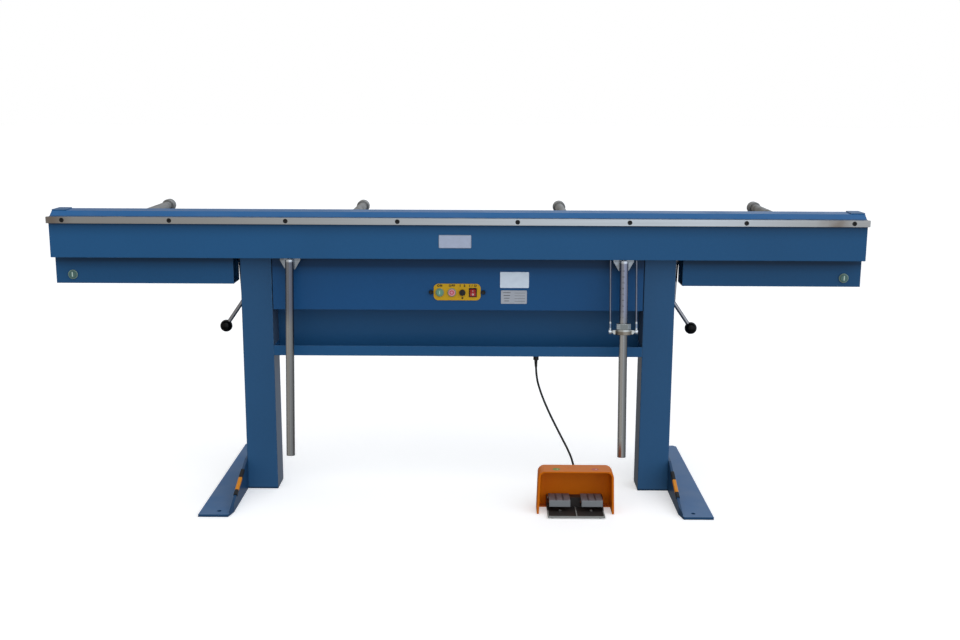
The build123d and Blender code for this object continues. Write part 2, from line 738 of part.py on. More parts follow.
pin_bottom = tip_z + arm_tip_radius + pin_gap
ring_z = pin_bottom + pin_ring_rise
lift_pin = bar_z(pin_radius, pin_bottom, bed_top - pin_top_gap, column_middle_x, pin_y)
lift_pin += bar_z(pin_ring_radius, ring_z, ring_z + pin_ring_height, column_middle_x, pin_y)
nodes["lift_pins"] = pair(lift_pin)

# Backstop: rods behind the bed, level with its top, and collars that slide on them
backstop_z = bed_top - backstop_radius
cap_front = backstop_end_y - backstop_cap_length
collar_rear = cap_front - stop_collar_gap
collar_edge = 1.5
rods = []
for number, x in enumerate(backstop_xs, start=1):
    rod = bar_y(backstop_radius, bed_rear, cap_front, x, backstop_z)
    cap = bar_y(backstop_cap_radius, cap_front, backstop_end_y, x, backstop_z)
    rods.append(rod + chamfer(cap.edges().filter_by(GeomType.CIRCLE), collar_edge))
    ring = bar_y(backstop_cap_radius, collar_rear - stop_collar_length, collar_rear, x, backstop_z)
    ring = chamfer(ring.edges().filter_by(GeomType.CIRCLE), collar_edge)
    ring -= bar_y(backstop_radius + slide_fit, bed_rear, backstop_end_y, x, backstop_z)
    nodes[f"backstop_collar_{number}"] = ring
nodes["backstop_rods"] = group(rods)

# Control plate with rounded corners, fixed to the panel
plate_front = column_front - plate_thickness
plate_face = Plane.XZ.offset(-column_front)
plate_middle = Pos((plate_x0 + plate_x1) / 2, (plate_z0 + plate_z1) / 2)
plate_outline = plate_middle * RectangleRounded(plate_x1 - plate_x0, plate_z1 - plate_z0, plate_corner)
nodes["control_plate"] = extrude(plate_face * plate_outline, amount=plate_thickness) - control_holes()

# Push buttons, their bezels and the rocker's frame
edge_round = 1.2


def button(x, z, face, radius):
    """Round cap on a stem that reaches through the sheet."""
    cap = bar_y(radius, face - bezel_depth - button_proud, face - button_proud - 1, x, z)
    cap = fillet(cap.faces().sort_by(Axis.Y)[0].edges(), edge_round)
    return cap + bar_y(button_stem_radius, face - button_proud - 1, face + stem_depth, x, z)


def bezel(x, z, face, outer, inner):
    """Ring round a button."""
    ring = bar_y(outer, face - bezel_depth, face, x, z)
    ring = fillet(ring.faces().sort_by(Axis.Y)[0].edges(), edge_round)
    return ring - bar_y(inner + button_room, face - bezel_depth - 1, face + 1, x, z)


nodes["start_button"] = button(start_x, control_z, plate_front, button_radius)
nodes["stop_button"] = button(stop_x, control_z, plate_front, button_radius)
end_button = button(end_button_x, end_button_z, box_front, end_button_radius)
nodes["end_button_left"] = other_side(end_button)
nodes["end_button_right"] = end_button
rocker_frame = block(
    rocker_x - rocker_bezel_width / 2, rocker_x + rocker_bezel_width / 2,
    plate_front - rocker_bezel_depth, plate_front,
    control_z - rocker_bezel_height / 2, control_z + rocker_bezel_height / 2)
rocker_frame -= control_holes()
rocker_frame -= block(
    rocker_x - rocker_half_hole, rocker_x + rocker_half_hole,
    plate_front - 2 * rocker_bezel_depth, plate_front,
    control_z - rocker_half_rise, control_z + rocker_half_rise)
end_ring = bezel(end_button_x, end_button_z, box_front, end_bezel_radius, end_button_radius)
nodes["switch_bezels"] = group([
    bezel(start_x, control_z, plate_front, bezel_radius, button_radius),
    bezel(stop_x, control_z, plate_front, bezel_radius, button_radius),
    rocker_frame, end_ring, other_side(end_ring)])

# Selector knob with a grip ridge, and the rocker in its resting tilt
knob = bar_y(selector_radius, plate_front - selector_depth, plate_front - button_room, selector_x, control_z)
knob = fillet(knob.faces().sort_by(Axis.Y)[0].edges(), edge_round)
knob += block(
    selector_x - selector_ridge / 2, selector_x + selector_ridge / 2,
    plate_front - selector_depth - selector_ridge, plate_front - selector_depth,
    control_z - selector_radius + 1, control_z + selector_radius - 1)
knob += bar_y(selector_stem_radius, plate_front - 1, panel_back + stem_depth, selector_x, control_z)
nodes["selector_knob"] = knob
rocker_ends = 6.0
rocker_dip = 4.5
rocker_back = 5.0
rocker_rise = rocker_height / 2
rocker = side_profile([
    (-rocker_ends, -rocker_rise), (-rocker_dip, 0), (-rocker_ends, rocker_rise),
    (0, rocker_rise), (rocker_back, 0), (0, -rocker_rise)], -rocker_width / 2, rocker_width / 2)
nodes["rocker_switch"] = Pos(rocker_x, plate_front, control_z) * Rot(X=rocker_rest_tilt) * rocker

# Electrics on the rear wall of the cabinet, below the lift shaft
wall_y = cover_rear - sheet
core_x0 = -330.0
core_width = 120.0
core_depth = 50.0
core_height = 100.0
electrics_z = 636.0
winding = 14.0
transformer = block(
    core_x0, core_x0 + core_width, wall_y - core_depth, wall_y,
    electrics_z, electrics_z + core_height)
transformer += block(
    core_x0 + core_width / 4, core_x0 + 3 * core_width / 4, wall_y - core_depth - winding, wall_y,
    electrics_z + winding, electrics_z + core_height - winding)
nodes["transformer"] = transformer
rectifier_x0 = 120.0
rectifier_width = 130.0
rectifier_plate = 6.0
fin_depth = 24.0
fin_count = 9
fin_pitch = rectifier_width / fin_count
rectifier = block(
    rectifier_x0, rectifier_x0 + rectifier_width, wall_y - rectifier_plate, wall_y,
    electrics_z, electrics_z + core_height)
for fin in range(fin_count):
    fin_x = rectifier_x0 + (fin + 0.5) * fin_pitch
    rectifier += block(
        fin_x - sheet / 2, fin_x + sheet / 2, wall_y - rectifier_plate - fin_depth, wall_y - rectifier_plate,
        electrics_z, electrics_z + core_height)
nodes["rectifier"] = rectifier

# Foot switch base: shallow tray with two bays, side cheeks and a lug for the pin, and floor pads
switch_base = block(switch_x0, switch_x1, switch_front, switch_rear, switch_foot, switch_top)
left_bay = (switch_x0 + switch_rim, divider_x - divider_half)
right_bay = (divider_x + divider_half, switch_x1 - switch_rim)
for bay_x0, bay_x1 in (left_bay, right_bay):
    switch_base -= block(bay_x0, bay_x1, switch_front + switch_rim, bay_rear, bay_floor, switch_top + 1)
cheek_outline = [
    (switch_rear, switch_foot), (switch_rear, cheek_top), (cheek_top_front, cheek_top),
    (cheek_front, switch_top), (cheek_front, switch_foot)]
for cheek_x in (switch_x0, switch_x1 - switch_rim):
    switch_base += side_profile(cheek_outline, cheek_x, cheek_x + switch_rim)
switch_base += block(lug_x0, lug_x1, bay_rear, switch_rear, switch_foot, lug_top)
switch_base -= bar_x(pedal_pin_radius, switch_x0 - 1, switch_x1 + 1, pedal_pivot_y, pedal_pivot_z)
for pad_x in (switch_x0 + pad_inset, switch_x1 - pad_inset):
    switch_base += bar_z(pad_radius, 0, switch_foot, pad_x, switch_front + pad_inset)
nodes["foot_base"] = switch_base
nodes["pedal_pin"] = bar_x(pedal_pin_radius, switch_x0, switch_x1, pedal_pivot_y, pedal_pivot_z)

# Foot switch hood: cover open at the front, with rounded corners and a flange under the base
hood_middle = (hood_x0 + hood_x1) / 2
hood_depth = 2 * (hood_rear - hood_front)


def hood_shell(inset, cheek):
    """Solid inside the hood's outline, drawn in at the top, rear and sides, and twice as deep as the hood."""
    width = hood_x1 - hood_x0 - 2 * cheek
    place = Pos(hood_middle, hood_rear - inset - hood_depth / 2)
    plan = place * RectangleRounded(width, hood_depth, hood_plan_corner - inset)
    shell = extrude(Plane.XY * plan, amount=hood_top - inset, taper=hood_flare)
    return fillet(shell.faces().sort_by(Axis.Z)[-1].edges(), hood_corner - inset)


outer_shell = hood_shell(0, 0)
hood = outer_shell - hood_shell(hood_wall, hood_cheek)
hood += outer_shell & block(hood_x0, hood_x1, hood_flange_front, hood_rear, 0, hood_flange)
hood -= block(hood_x0 - 1, hood_x1 + 1, hood_front - hood_depth, hood_front, -1, hood_top + 1)
gland_seat = hood_rear - 2 * hood_wall
hood -= bar_y(gland_radius, gland_seat, hood_rear + 1, switch_gland_x, switch_gland_z)
nodes["foot_hood"] = hood

# Pedals: blocks on the pivot pin, with two grooves along the top
pedal_outline = [
    (pedal_front, pedal_front_z[0]), (pedal_front, pedal_front_z[1] - pedal_edge),
    (pedal_front + pedal_edge, pedal_front_z[1]),
    (pedal_rear, pedal_rear_z[1]), (pedal_rear, pedal_rear_z[0])]
pedal_fall = (pedal_front_z[1] - pedal_rear_z[1]) / (pedal_rear - pedal_front)
groove_front = pedal_front + groove_margin
groove_rear = pedal_rear - groove_margin
groove_front_z = pedal_front_z[1] - groove_margin * pedal_fall
groove_rear_z = pedal_rear_z[1] + groove_margin * pedal_fall
groove_outline = [
    (groove_front, groove_front_z + groove_depth), (groove_front, groove_front_z - groove_depth),
    (groove_rear, groove_rear_z - groove_depth), (groove_rear, groove_rear_z + groove_depth)]
for name, x in zip(("pedal_left", "pedal_right"), pedal_xs):
    pedal = side_profile(pedal_outline, x, x + pedal_width)
    for third in (1, 2):
        groove_x = x + third * pedal_width / 3 - groove_width / 2
        pedal -= side_profile(groove_outline, groove_x, groove_x + groove_width)
    pedal -= bar_x(pedal_pin_radius + pedal_fit, x - 1, x + pedal_width + 1, pedal_pivot_y, pedal_pivot_z)
    nodes[name] = pedal

# Cable glands: mains inlet, tray outlet and foot switch inlet
nut_height = 6.0
mains_gland = bar_y(gland_radius, cover_rear - sheet, cover_rear + gland_proud, mains_x, mains_z)
mains_gland += hexagon(
    Plane(origin=(mains_x, cover_rear, mains_z), x_dir=(1, 0, 0), z_dir=(0, 1, 0)), gland_flats, nut_height)
tray_gland = bar_z(gland_radius, tray_bottom - gland_proud, tray_bottom + sheet, tray_gland_x, tray_gland_y)
tray_gland += hexagon(
    Plane(origin=(tray_gland_x, tray_gland_y, tray_bottom), x_dir=(1, 0, 0), z_dir=(0, 0, -1)),
    gland_flats, nut_height)
switch_gland = bar_y(gland_radius, hood_rear - hood_wall, switch_gland_end, switch_gland_x, switch_gland_z)
nodes["cable_glands"] = group([mains_gland, tray_gland, switch_gland])

# Foot switch cable: straight runs joined by the largest arcs that fit
cable_route = [
    (tray_gland_x, tray_gland_y, tray_bottom - gland_proud),
    (tray_gland_x, tray_gland_y, 385.0),
    (274.0, 92.0, 326.0),
    (302.5, 76.0, 261.0),
    (337.0, 52.0, 197.0),
    (368.5, 24.0, 141.0),
    (380.0, 8.0, 108.5),
    (387.0, -1.0, 68.0),
    (switch_gland_x, -14.0, 37.0),
    (switch_gland_x, -35.0, switch_gland_z),
    (switch_gland_x, switch_gland_end, switch_gland_z)]


def arc_radii(points):
    """Largest comfortable radius at each corner of a route."""
    corners = [Vector(*point) for point in points]
    radii = []
    for before, here, after in zip(corners, corners[1:], corners[2:]):
        turn = radians((here - before).get_angle(after - here))
        shorter = min((here - before).length, (after - here).length)
        radii.append(0.45 * shorter / tan(turn / 2))
    return radii


cable_radii = arc_radii(cable_route)
cable_path = FilletPolyline(*cable_route, radius=cable_radii)
cable_end = Plane(origin=cable_path @ 0, z_dir=cable_path % 0)
cable = sweep(cable_end * Circle(cable_radius), path=cable_path)
nodes["foot_cable"] = cable
print("cable radii", [round(radius, 1) for radius in cable_radii])
print("cable length", round(cable_path.length, 1))
print("cable volume", round(cable.volume))
print("section times length", round(pi * cable_radius ** 2 * cable_path.length))
print("middle of the machine along Y", middle_y)
print("lift arm", round(lift_arm, 2), "rod length", round(rod_length, 2))

# Parts in the finished frame: the origin is on the floor under the middle of the machine
os.makedirs("parts", exist_ok=True)
for name, shape in nodes.items():
    export_step(Pos(0, -middle_y, 0) * shape, f"parts/{name}.step")
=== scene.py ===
"""Looks of a magnetic sheet metal brake: finishes of its solids, small fittings, cable and studio."""

import json
import math

import bmesh
import bpy
from bpy.props import FloatProperty, FloatVectorProperty, PointerProperty
from mathutils import Matrix, Vector


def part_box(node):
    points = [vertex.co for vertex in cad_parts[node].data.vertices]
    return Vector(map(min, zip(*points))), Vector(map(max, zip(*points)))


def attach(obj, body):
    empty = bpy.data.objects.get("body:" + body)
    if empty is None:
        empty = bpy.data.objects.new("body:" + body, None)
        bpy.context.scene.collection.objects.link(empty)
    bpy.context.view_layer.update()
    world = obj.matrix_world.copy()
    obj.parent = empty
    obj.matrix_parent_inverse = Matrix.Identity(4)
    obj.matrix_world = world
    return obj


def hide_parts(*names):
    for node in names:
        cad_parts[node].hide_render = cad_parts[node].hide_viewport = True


bl_info = {
    "name": "Magnetic sheet metal brake",
    "version": (1, 0, 0),
    "blender": (4, 5, 0),
    "location": "View3D > Sidebar > Brake",
    "description": "Finishes, small fittings, cable and studio of a magnetic sheet metal brake",
    "category": "Object",
}

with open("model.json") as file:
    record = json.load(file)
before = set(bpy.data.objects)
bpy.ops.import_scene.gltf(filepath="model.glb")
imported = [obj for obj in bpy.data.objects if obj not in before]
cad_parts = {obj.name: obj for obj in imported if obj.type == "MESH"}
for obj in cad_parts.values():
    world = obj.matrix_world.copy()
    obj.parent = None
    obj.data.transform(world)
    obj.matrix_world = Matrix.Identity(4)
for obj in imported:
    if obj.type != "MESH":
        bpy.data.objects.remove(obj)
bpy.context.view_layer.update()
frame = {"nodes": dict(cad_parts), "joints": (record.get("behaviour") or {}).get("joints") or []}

RIGHT = Vector((1, 0, 0))
BACK = Vector((0, 1, 0))
UP = Vector((0, 0, 1))


# Colours and property helpers

def display(red, green, blue):
    """Linear colour of a display colour given from 0 to 255."""
    shares = [channel / 255 for channel in (red, green, blue)]
    return tuple(((s + 0.055) / 1.055) ** 2.4 if s > 0.04045 else s / 12.92 for s in shares)


def tinted(colour, factor):
    """Lighter or darker copy of a colour."""
    return tuple(min(1.0, channel * factor) for channel in colour)


def colour_property(name, description, red, green, blue):
    """Colour that a user may change."""
    default = display(red, green, blue)
    return FloatVectorProperty(
        name=name, description=description, default=default, subtype="COLOR", size=3, min=0, max=1)


LENGTH = {"unit": "LENGTH", "precision": 4, "min": 0}
PLACE = {"unit": "LENGTH", "precision": 4}
ANGLE = {"subtype": "ANGLE"}
LENS = {"min": 1}
LIGHT = {"min": 0}
POWER = {"unit": "POWER", "min": 0}


def setting(kind, name, description, default):
    """Number that a user may change."""
    return FloatProperty(name=name, description=description, default=default, **kind)


class BrakeColours(bpy.types.PropertyGroup):
    """Colours of the machine's finishes."""

    machine_blue: colour_property("Machine blue", "Powder coat of the frame, bed and beam", 34, 86, 131)
    panel_blue: colour_property("Panel blue", "Shaded paint of the front panel", 26, 80, 130)
    column_blue: colour_property("Column blue", "Rubbed paint of the columns", 43, 87, 128)
    clamp_blue: colour_property("Clamp blue", "Paint of the clamp bar", 34, 92, 144)
    foot_blue: colour_property("Foot blue", "Dusty paint of the floor feet", 44, 94, 142)
    bright_steel: colour_property("Bright steel", "Ground steel of the strip and the poles", 176, 174, 170)
    zinc_grey: colour_property("Zinc grey", "Plated pipes, rods and stop", 158, 158, 156)
    hood_orange: colour_property("Hood orange", "Moulded hood of the foot switch", 212, 110, 12)
    plate_yellow: colour_property("Plate yellow", "Painted control plate", 209, 164, 10)
    start_green: colour_property("Start green", "Start button", 104, 152, 126)
    stop_red: colour_property("Stop red", "Rocker switch", 174, 46, 44)
    blank_white: colour_property("Blank white", "Bare plates", 222, 235, 252)
    ink: colour_property("Ink", "Marks on plates and scale", 36, 26, 14)


class BrakeFittings(bpy.types.PropertyGroup):
    """Sizes of the small fittings."""

    plate_thickness: setting(LENGTH, "Plate thickness", "Thickness of the bare plates", 0.0012)
    plate_corner: setting(LENGTH, "Plate corner", "Corner radius of the bare plates", 0.003)
    thumb_radius: setting(LENGTH, "Thumb screw radius", "Radius of the thumb screws' heads", 0.0068)
    thumb_height: setting(LENGTH, "Thumb screw height", "Height of the thumb screws' heads", 0.009)
    cover_screw_radius: setting(LENGTH, "Cover screw radius", "Radius of the cover screws' heads", 0.005)
    tick_length: setting(LENGTH, "Tick length", "Arc of a long tick on the handle's scale", 0.0055)
    figure_height: setting(LENGTH, "Figure height", "Height of the figures on the handle's scale", 0.0055)
    mark_height: setting(LENGTH, "Mark height", "Height of the marks on the control plate", 0.0095)
    cable_diameter: setting(LENGTH, "Cable diameter", "Diameter of the foot switch cable", 0.007)


class BrakeStage(bpy.types.PropertyGroup):
    """Camera and light of the studio."""

    camera_x: setting(PLACE, "Camera X", "Camera's place along the bed", 0.0866)
    camera_y: setting(PLACE, "Camera Y", "Camera's place from the bed", -3.7714)
    camera_z: setting(PLACE, "Camera Z", "Camera's height", 1.3111)
    pitch: setting(ANGLE, "Pitch", "Tilt below the horizon", math.radians(11.337))
    roll: setting(ANGLE, "Roll", "Turn about the view", math.radians(0.253))
    yaw: setting(ANGLE, "Yaw", "Turn about the vertical", math.radians(0.232))
    lens: setting(LENS, "Lens", "Focal length on a 36 mm sensor", 43.1)
    ceiling: setting(LIGHT, "Ceiling", "Brightness overhead", 1.0)
    walls: setting(LIGHT, "Walls", "Brightness at eye level", 0.75)
    ground: setting(LIGHT, "Ground", "Brightness of the room below eye level", 0.2)
    window: setting(LIGHT, "Window", "Added brightness on the right", 0.6)
    front: setting(LIGHT, "Front", "Added brightness behind the camera", 0.55)
    softbox: setting(POWER, "Softbox", "Power of the overhead softbox", 15)
    backdrop: setting(LIGHT, "Backdrop", "Brightness of the plain backdrop", 1.0)


# Shader nodes written as expressions

def math_method(operation, reflected=False):
    """Method that adds a Math node on two numbers."""

    def method(self, other):
        first, second = (other, self) if reflected else (self, other)
        return self.shader.node("ShaderNodeMath", {"operation": operation}, {0: first, 1: second})

    return method


class Value:
    """A number in a shader; arithmetic on it adds Math nodes."""

    def __init__(self, shader, socket):
        self.shader = shader
        self.socket = socket

    __add__ = math_method("ADD")
    __radd__ = math_method("ADD", reflected=True)
    __sub__ = math_method("SUBTRACT")
    __rsub__ = math_method("SUBTRACT", reflected=True)
    __mul__ = math_method("MULTIPLY")
    __rmul__ = math_method("MULTIPLY", reflected=True)
    larger = math_method("MAXIMUM")
    smaller = math_method("MINIMUM")

    def __abs__(self):
        return self.shader.node("ShaderNodeMath", {"operation": "ABSOLUTE"}, {0: self})


class Shader:
    """A node tree in the making."""

    def __init__(self, tree):
        self.nodes = tree.nodes
        self.links = tree.links

    def node(self, kind, settings=None, sockets=None, out=0):
        """Add a node: settings first, then the values or links of its sockets; give back one output."""
        made = self.nodes.new(kind)
        for name, choice in (settings or {}).items():
            setattr(made, name, choice)
        for key, value in (sockets or {}).items():
            if isinstance(value, Value):
                self.links.new(value.socket, made.inputs[key])
            else:
                made.inputs[key].default_value = value
        return Value(self, made.outputs[out])

    def smooth(self, value, low, high):
        """0 below low, 1 above high, an even slope between."""
        return self.node(
            "ShaderNodeMapRange", {"interpolation_type": "SMOOTHSTEP"},
            {"Value": value, "From Min": low, "From Max": high})

    def band(self, value, rise, fall):
        """1 between a rise and a fall, which are pairs of limits, and 0 outside them."""
        return self.smooth(value, *rise) - self.smooth(value, *fall)

    def part(self, vector, letter):
        """One coordinate of a vector."""
        return self.node("ShaderNodeSeparateXYZ", sockets={0: vector}, out=letter)

    def mix(self, share, first, second):
        """Blend two colours."""
        both = {6: first, 7: second}
        tints = {key: value if isinstance(value, Value) else (*value[:3], 1) for key, value in both.items()}
        return self.node("ShaderNodeMix", {"data_type": "RGBA"}, {0: share, **tints}, out=2)

    def tones(self, share, colour, dark, light):
        """Blend from a darker to a lighter copy of a colour."""
        return self.mix(share, tinted(colour, dark), tinted(colour, light))


class Finish(Shader):
    """A material with its own noises and masks; rounding is the radius of its softened edges."""

    def __init__(self, name, uniform, rounding=0.0008):
        self.material = bpy.data.materials.new(name)
        self.material.use_nodes = True
        super().__init__(self.material.node_tree)
        self.surface = self.nodes["Principled BSDF"]
        for socket, value in uniform.items():
            self.surface.inputs[socket].default_value = value
        self.point = self.node("ShaderNodeTexCoord", out="Object")
        self.normal = self.node("ShaderNodeTexCoord", out="Normal")
        self.rounded = self.node("ShaderNodeBevel", {"samples": 6}, {"Radius": rounding})

    def at(self, letter):
        """One coordinate of the point, in metres."""
        return self.part(self.point, letter)

    def facing(self, letter):
        """One coordinate of the face's direction, from -1 to 1."""
        return self.part(self.normal, letter)

    def noise(self, scale, detail=3, stretch=(1, 1, 1)):
        """Cloudy pattern from 0 to 1; scale counts its lumps in a metre."""
        place = self.node("ShaderNodeVectorMath", {"operation": "MULTIPLY"}, {0: self.point, 1: stretch})
        return self.node("ShaderNodeTexNoise", sockets={"Vector": place, "Scale": scale, "Detail": detail})

    def cells(self, scale):
        """Random grey for each small crystal."""
        sockets = {"Vector": self.point, "Scale": scale}
        return self.part(self.node("ShaderNodeTexVoronoi", sockets=sockets, out="Color"), "X")

    def edges(self):
        """1 along the rounded edges, 0 on the flats."""
        both = {0: self.rounded, 1: self.node("ShaderNodeNewGeometry", out="Normal")}
        likeness = self.node("ShaderNodeVectorMath", {"operation": "DOT_PRODUCT"}, both, out="Value")
        return self.smooth(1 - likeness, 0.01, 0.2)

    def upward(self):
        """1 on faces that look up, 0 on upright ones."""
        return self.smooth(self.facing("Z"), 0.6, 0.95)

    def cover(self, colour, roughness, relief=None):
        """Link colour, roughness and the height of the relief in metres to the surface."""
        normal = self.rounded
        if relief is not None:
            sockets = {"Distance": 1.0, "Height": relief, "Normal": self.rounded}
            normal = self.node("ShaderNodeBump", sockets=sockets)
        for name, value in (("Base Color", colour), ("Roughness", roughness), ("Normal", normal)):
            self.links.new(value.socket, self.surface.inputs[name])
        return self.material


# Colours of wear, dirt and worked metal, and of painted light and shade

RUBBED_PAINT = display(120, 140, 165)
PALE_DUST = display(150, 158, 168)
WARM_DUST = display(206, 184, 160)
DULL_SIDE = display(98, 95, 90)
HANDLING_STAIN = display(118, 108, 98)
BROWN_STAIN = display(106, 86, 68)
ZINC_SPOT = display(98, 94, 88)
RUST = display(132, 66, 18)
POLISHED_STRIP = display(206, 213, 218)
POLISHED_PIPE = display(226, 233, 240)
BRIGHT_FLANK = display(216, 232, 242)
DARK_ROD = display(86, 92, 106)
LIGHT_ROD = display(122, 127, 140)
ROD_WAIST = display(122, 136, 156)
ROCKER_FRAME = display(44, 12, 14)
DARK_TREAD = display(92, 95, 104)
LIGHT_TREAD = display(138, 140, 146)
TREAD_GROOVE = display(58, 53, 60)
DARK_BAY = display(40, 36, 34)
LIGHT_BAY = display(62, 58, 56)
DARK_COPPER = display(150, 78, 40)
LIGHT_COPPER = display(196, 112, 62)
BLACK = display(8, 8, 9)

BARE_METAL = {"Metallic": 1.0}
FINE_RELIEF = 0.00001


# Finishes

def powder_coat(
        name, colour, roughness=0.36, dust=0.2, wear=0.35, rounding=0.0025,
        grime=None, dull_sides=0.0, shaded=0.0):
    """Satin coat with orange peel, worn edges and dust on top.

    Between the grime and towards its right end it is darkened as painted shade; dull_sides greys its
    inward sides as a painted reflection, with painted shade at the floor; and shaded darkens its upright
    faces and what stands above the sole.
    """
    finish = Finish(name, {"IOR": 1.45, "Specular IOR Level": 0.2}, rounding)
    clouds = finish.noise(2.6, 2)
    coat = finish.tones(clouds * 0.7 + finish.noise(110, 4) * 0.3, colour, 0.86, 1.14)
    worn = finish.edges() * finish.smooth(finish.noise(45, 5), 0.4, 0.66)
    coat = finish.mix(worn * wear, coat, RUBBED_PAINT)
    settled = finish.upward() * finish.smooth(finish.noise(7, 5), 0.3, 0.75)
    coat = finish.mix(settled * dust, coat, PALE_DUST)
    # Painted shade: darker between two heights, with a darker line at the top of them, and darker towards the
    # right end.
    if grime:
        start, end = grime
        darkest_line = 0.012
        height = finish.at("Z")
        rise = finish.smooth(height, start, end) + finish.smooth(height, end - darkest_line, end)
        right_end = finish.smooth(finish.at("X"), -0.2, 1.2)
        coat = finish.mix(rise * 0.4 + right_end * 0.14, coat, tinted(colour, 0.4))
    # Painted reflection: the inward sides greyed as if they mirrored a bright room; painted shade: darker
    # near the floor.
    if dull_sides:
        inward = 0 - finish.facing("X") * finish.at("X")
        coat = finish.mix(finish.smooth(inward, 0.4, 0.55) * dull_sides, coat, DULL_SIDE)
        floor_edge = 1 - finish.smooth(finish.at("Z"), 0.003, 0.008)
        coat = finish.mix(floor_edge * 0.7, coat, tinted(colour, 0.25))
    # Painted shade: upright faces and what stands above the sole are darkened.
    if shaded:
        above_sole = finish.smooth(finish.at("Z"), 0.009, 0.01)
        dark = (1 - finish.upward()).larger(above_sole)
        coat = finish.mix(dark * shaded, coat, tinted(colour, 0.2))
    gloss = clouds * 0.12 + settled * 0.16 + (roughness - 0.06)
    peel = finish.noise(300, 2) * 0.000012 + finish.noise(3.5, 1) * 0.0006
    return finish.cover(coat, gloss, peel)


def ground_steel(name, colour, stretch, roughness=0.32, stain=0.5):
    """Ground bar with grinding lines one way and handling stains."""
    finish = Finish(name, BARE_METAL)
    lines = finish.noise(1, 3, stretch)
    stains = finish.smooth(finish.noise(5, 5), 0.42, 0.72)
    marked = finish.mix(stains * stain, finish.tones(lines, colour, 0.82, 1.1), HANDLING_STAIN)
    gloss = lines * 0.18 + stains * 0.12 + (roughness - 0.09)
    return finish.cover(marked, gloss, lines * FINE_RELIEF)


def strip_steel(name, colour):
    """Ground strip with a painted reflection, bright right of its middle and dim again at its right end, and
    browned places near its ends.
    """
    finish = Finish(name, BARE_METAL)
    along = finish.at("X")
    lines = finish.noise(1, 3, (3, 700, 700))
    clouds = finish.noise(4, 4)
    # Painted reflection: brighter right of the middle and darker again at the right end.
    polish = finish.smooth(along, -1.2, 0.55) - finish.smooth(along, 0.75, 1.25) * 0.95
    shone = finish.mix(polish * 0.9 + clouds * 0.1, tinted(colour, 0.84), POLISHED_STRIP)
    lined = finish.mix(lines * 0.4, shone, tinted(colour, 0.7))
    left_end = 1 - finish.smooth(along, -1.29, -1.2)
    right_spot = finish.band(along, (1.12, 1.17), (1.2, 1.25))
    brown = (left_end + right_spot) * finish.smooth(finish.noise(9, 5), 0.25, 0.55)
    stained = finish.mix(brown * 0.65, lined, BROWN_STAIN)
    return finish.cover(stained, lines * 0.18 + clouds * 0.1 + 0.2, lines * FINE_RELIEF)


def zinc_plate(name, colour, roughness=0.38, spots=0.35):
    """Plated steel with dull crystals, streaks and grey spots."""
    finish = Finish(name, BARE_METAL)
    streaks = finish.noise(1, 4, (160, 160, 6))
    base = finish.tones(finish.cells(160) * 0.4 + streaks * 0.6, colour, 0.78, 1.14)
    dull = finish.smooth(finish.noise(26, 5), 0.52, 0.7)
    gloss = streaks * 0.16 + dull * 0.2 + (roughness - 0.08)
    return finish.cover(finish.mix(dull * spots, base, ZINC_SPOT), gloss, streaks * 2 * FINE_RELIEF)


def pipe_steel(name, colour, roughness=0.24, rust=0.0, dulled=0.0, upper_tint=None):
    """Drawn pipe with faint streaks and rust at its lower end; painted shade on its right and upper left, a
    painted reflection below its top and a painted highlight at the top.
    """
    finish = Finish(name, BARE_METAL)
    streaks = finish.noise(1, 3, (240, 240, 5))
    clouds = finish.noise(8, 4)
    base = finish.tones(streaks * 0.6 + clouds * 0.4, colour, 0.82, 1.16)
    height = finish.at("Z")
    if upper_tint:
        # Painted shade on the right of its front and on its upper left, a painted reflection tint over its
        # upper part, and a painted highlight along its top.
        across = finish.facing("X")
        upper = finish.smooth(height, 0.56, 0.64)
        front = 1 - finish.smooth(finish.facing("Y"), -0.35, 0.15)
        left = 1 - finish.smooth(across, -0.9, -0.3)
        base = finish.mix(finish.smooth(across, -0.7, 0.4) * front * dulled, base, tinted(colour, 0.1))
        base = finish.mix(left * upper * 0.7, base, tinted(colour, 0.2))
        base = finish.mix(upper * 0.5, base, upper_tint)
        base = finish.mix(finish.smooth(height, 0.772, 0.777) * 0.6, base, POLISHED_PIPE)
    low_end = 1 - finish.smooth(height, 0.175, 0.22)
    streak = finish.band(finish.at("X"), (0.516, 0.519), (0.5235, 0.527))
    rusty = finish.mix(low_end * streak * rust, base, RUST)
    return finish.cover(rusty, streaks * 0.14 + clouds * 0.08 + (roughness - 0.1), streaks * FINE_RELIEF)


def link_steel(name, colour):
    """Rods with turned ends at the bottom: painted shade makes the rods dark and bluish, painted highlights
    brighten both shoulders of the ends and a painted reflection tints their waist.
    """
    finish = Finish(name, BARE_METAL)
    height = finish.at("Z")
    streaks = finish.noise(1, 4, (200, 200, 8))
    # Painted shade: the rods darker and bluish above; painted highlight: the turned ends bright, with a
    # bluish painted reflection at their waist.
    rod = finish.mix(streaks, DARK_ROD, LIGHT_ROD)
    turned_end = 1 - finish.smooth(height, 0.588, 0.592)
    waist = finish.band(height, (0.568, 0.572), (0.582, 0.586))
    end = finish.mix(waist, colour, ROD_WAIST)
    return finish.cover(finish.mix(turned_end, rod, end), streaks * 0.16 + 0.16, streaks * FINE_RELIEF)


def milled(finish, colour):
    """Fine milling lines and the tones that they give a colour."""
    lines = finish.noise(1, 3, (60, 60, 900))
    return lines, finish.tones(lines, colour, 0.86, 1.12)


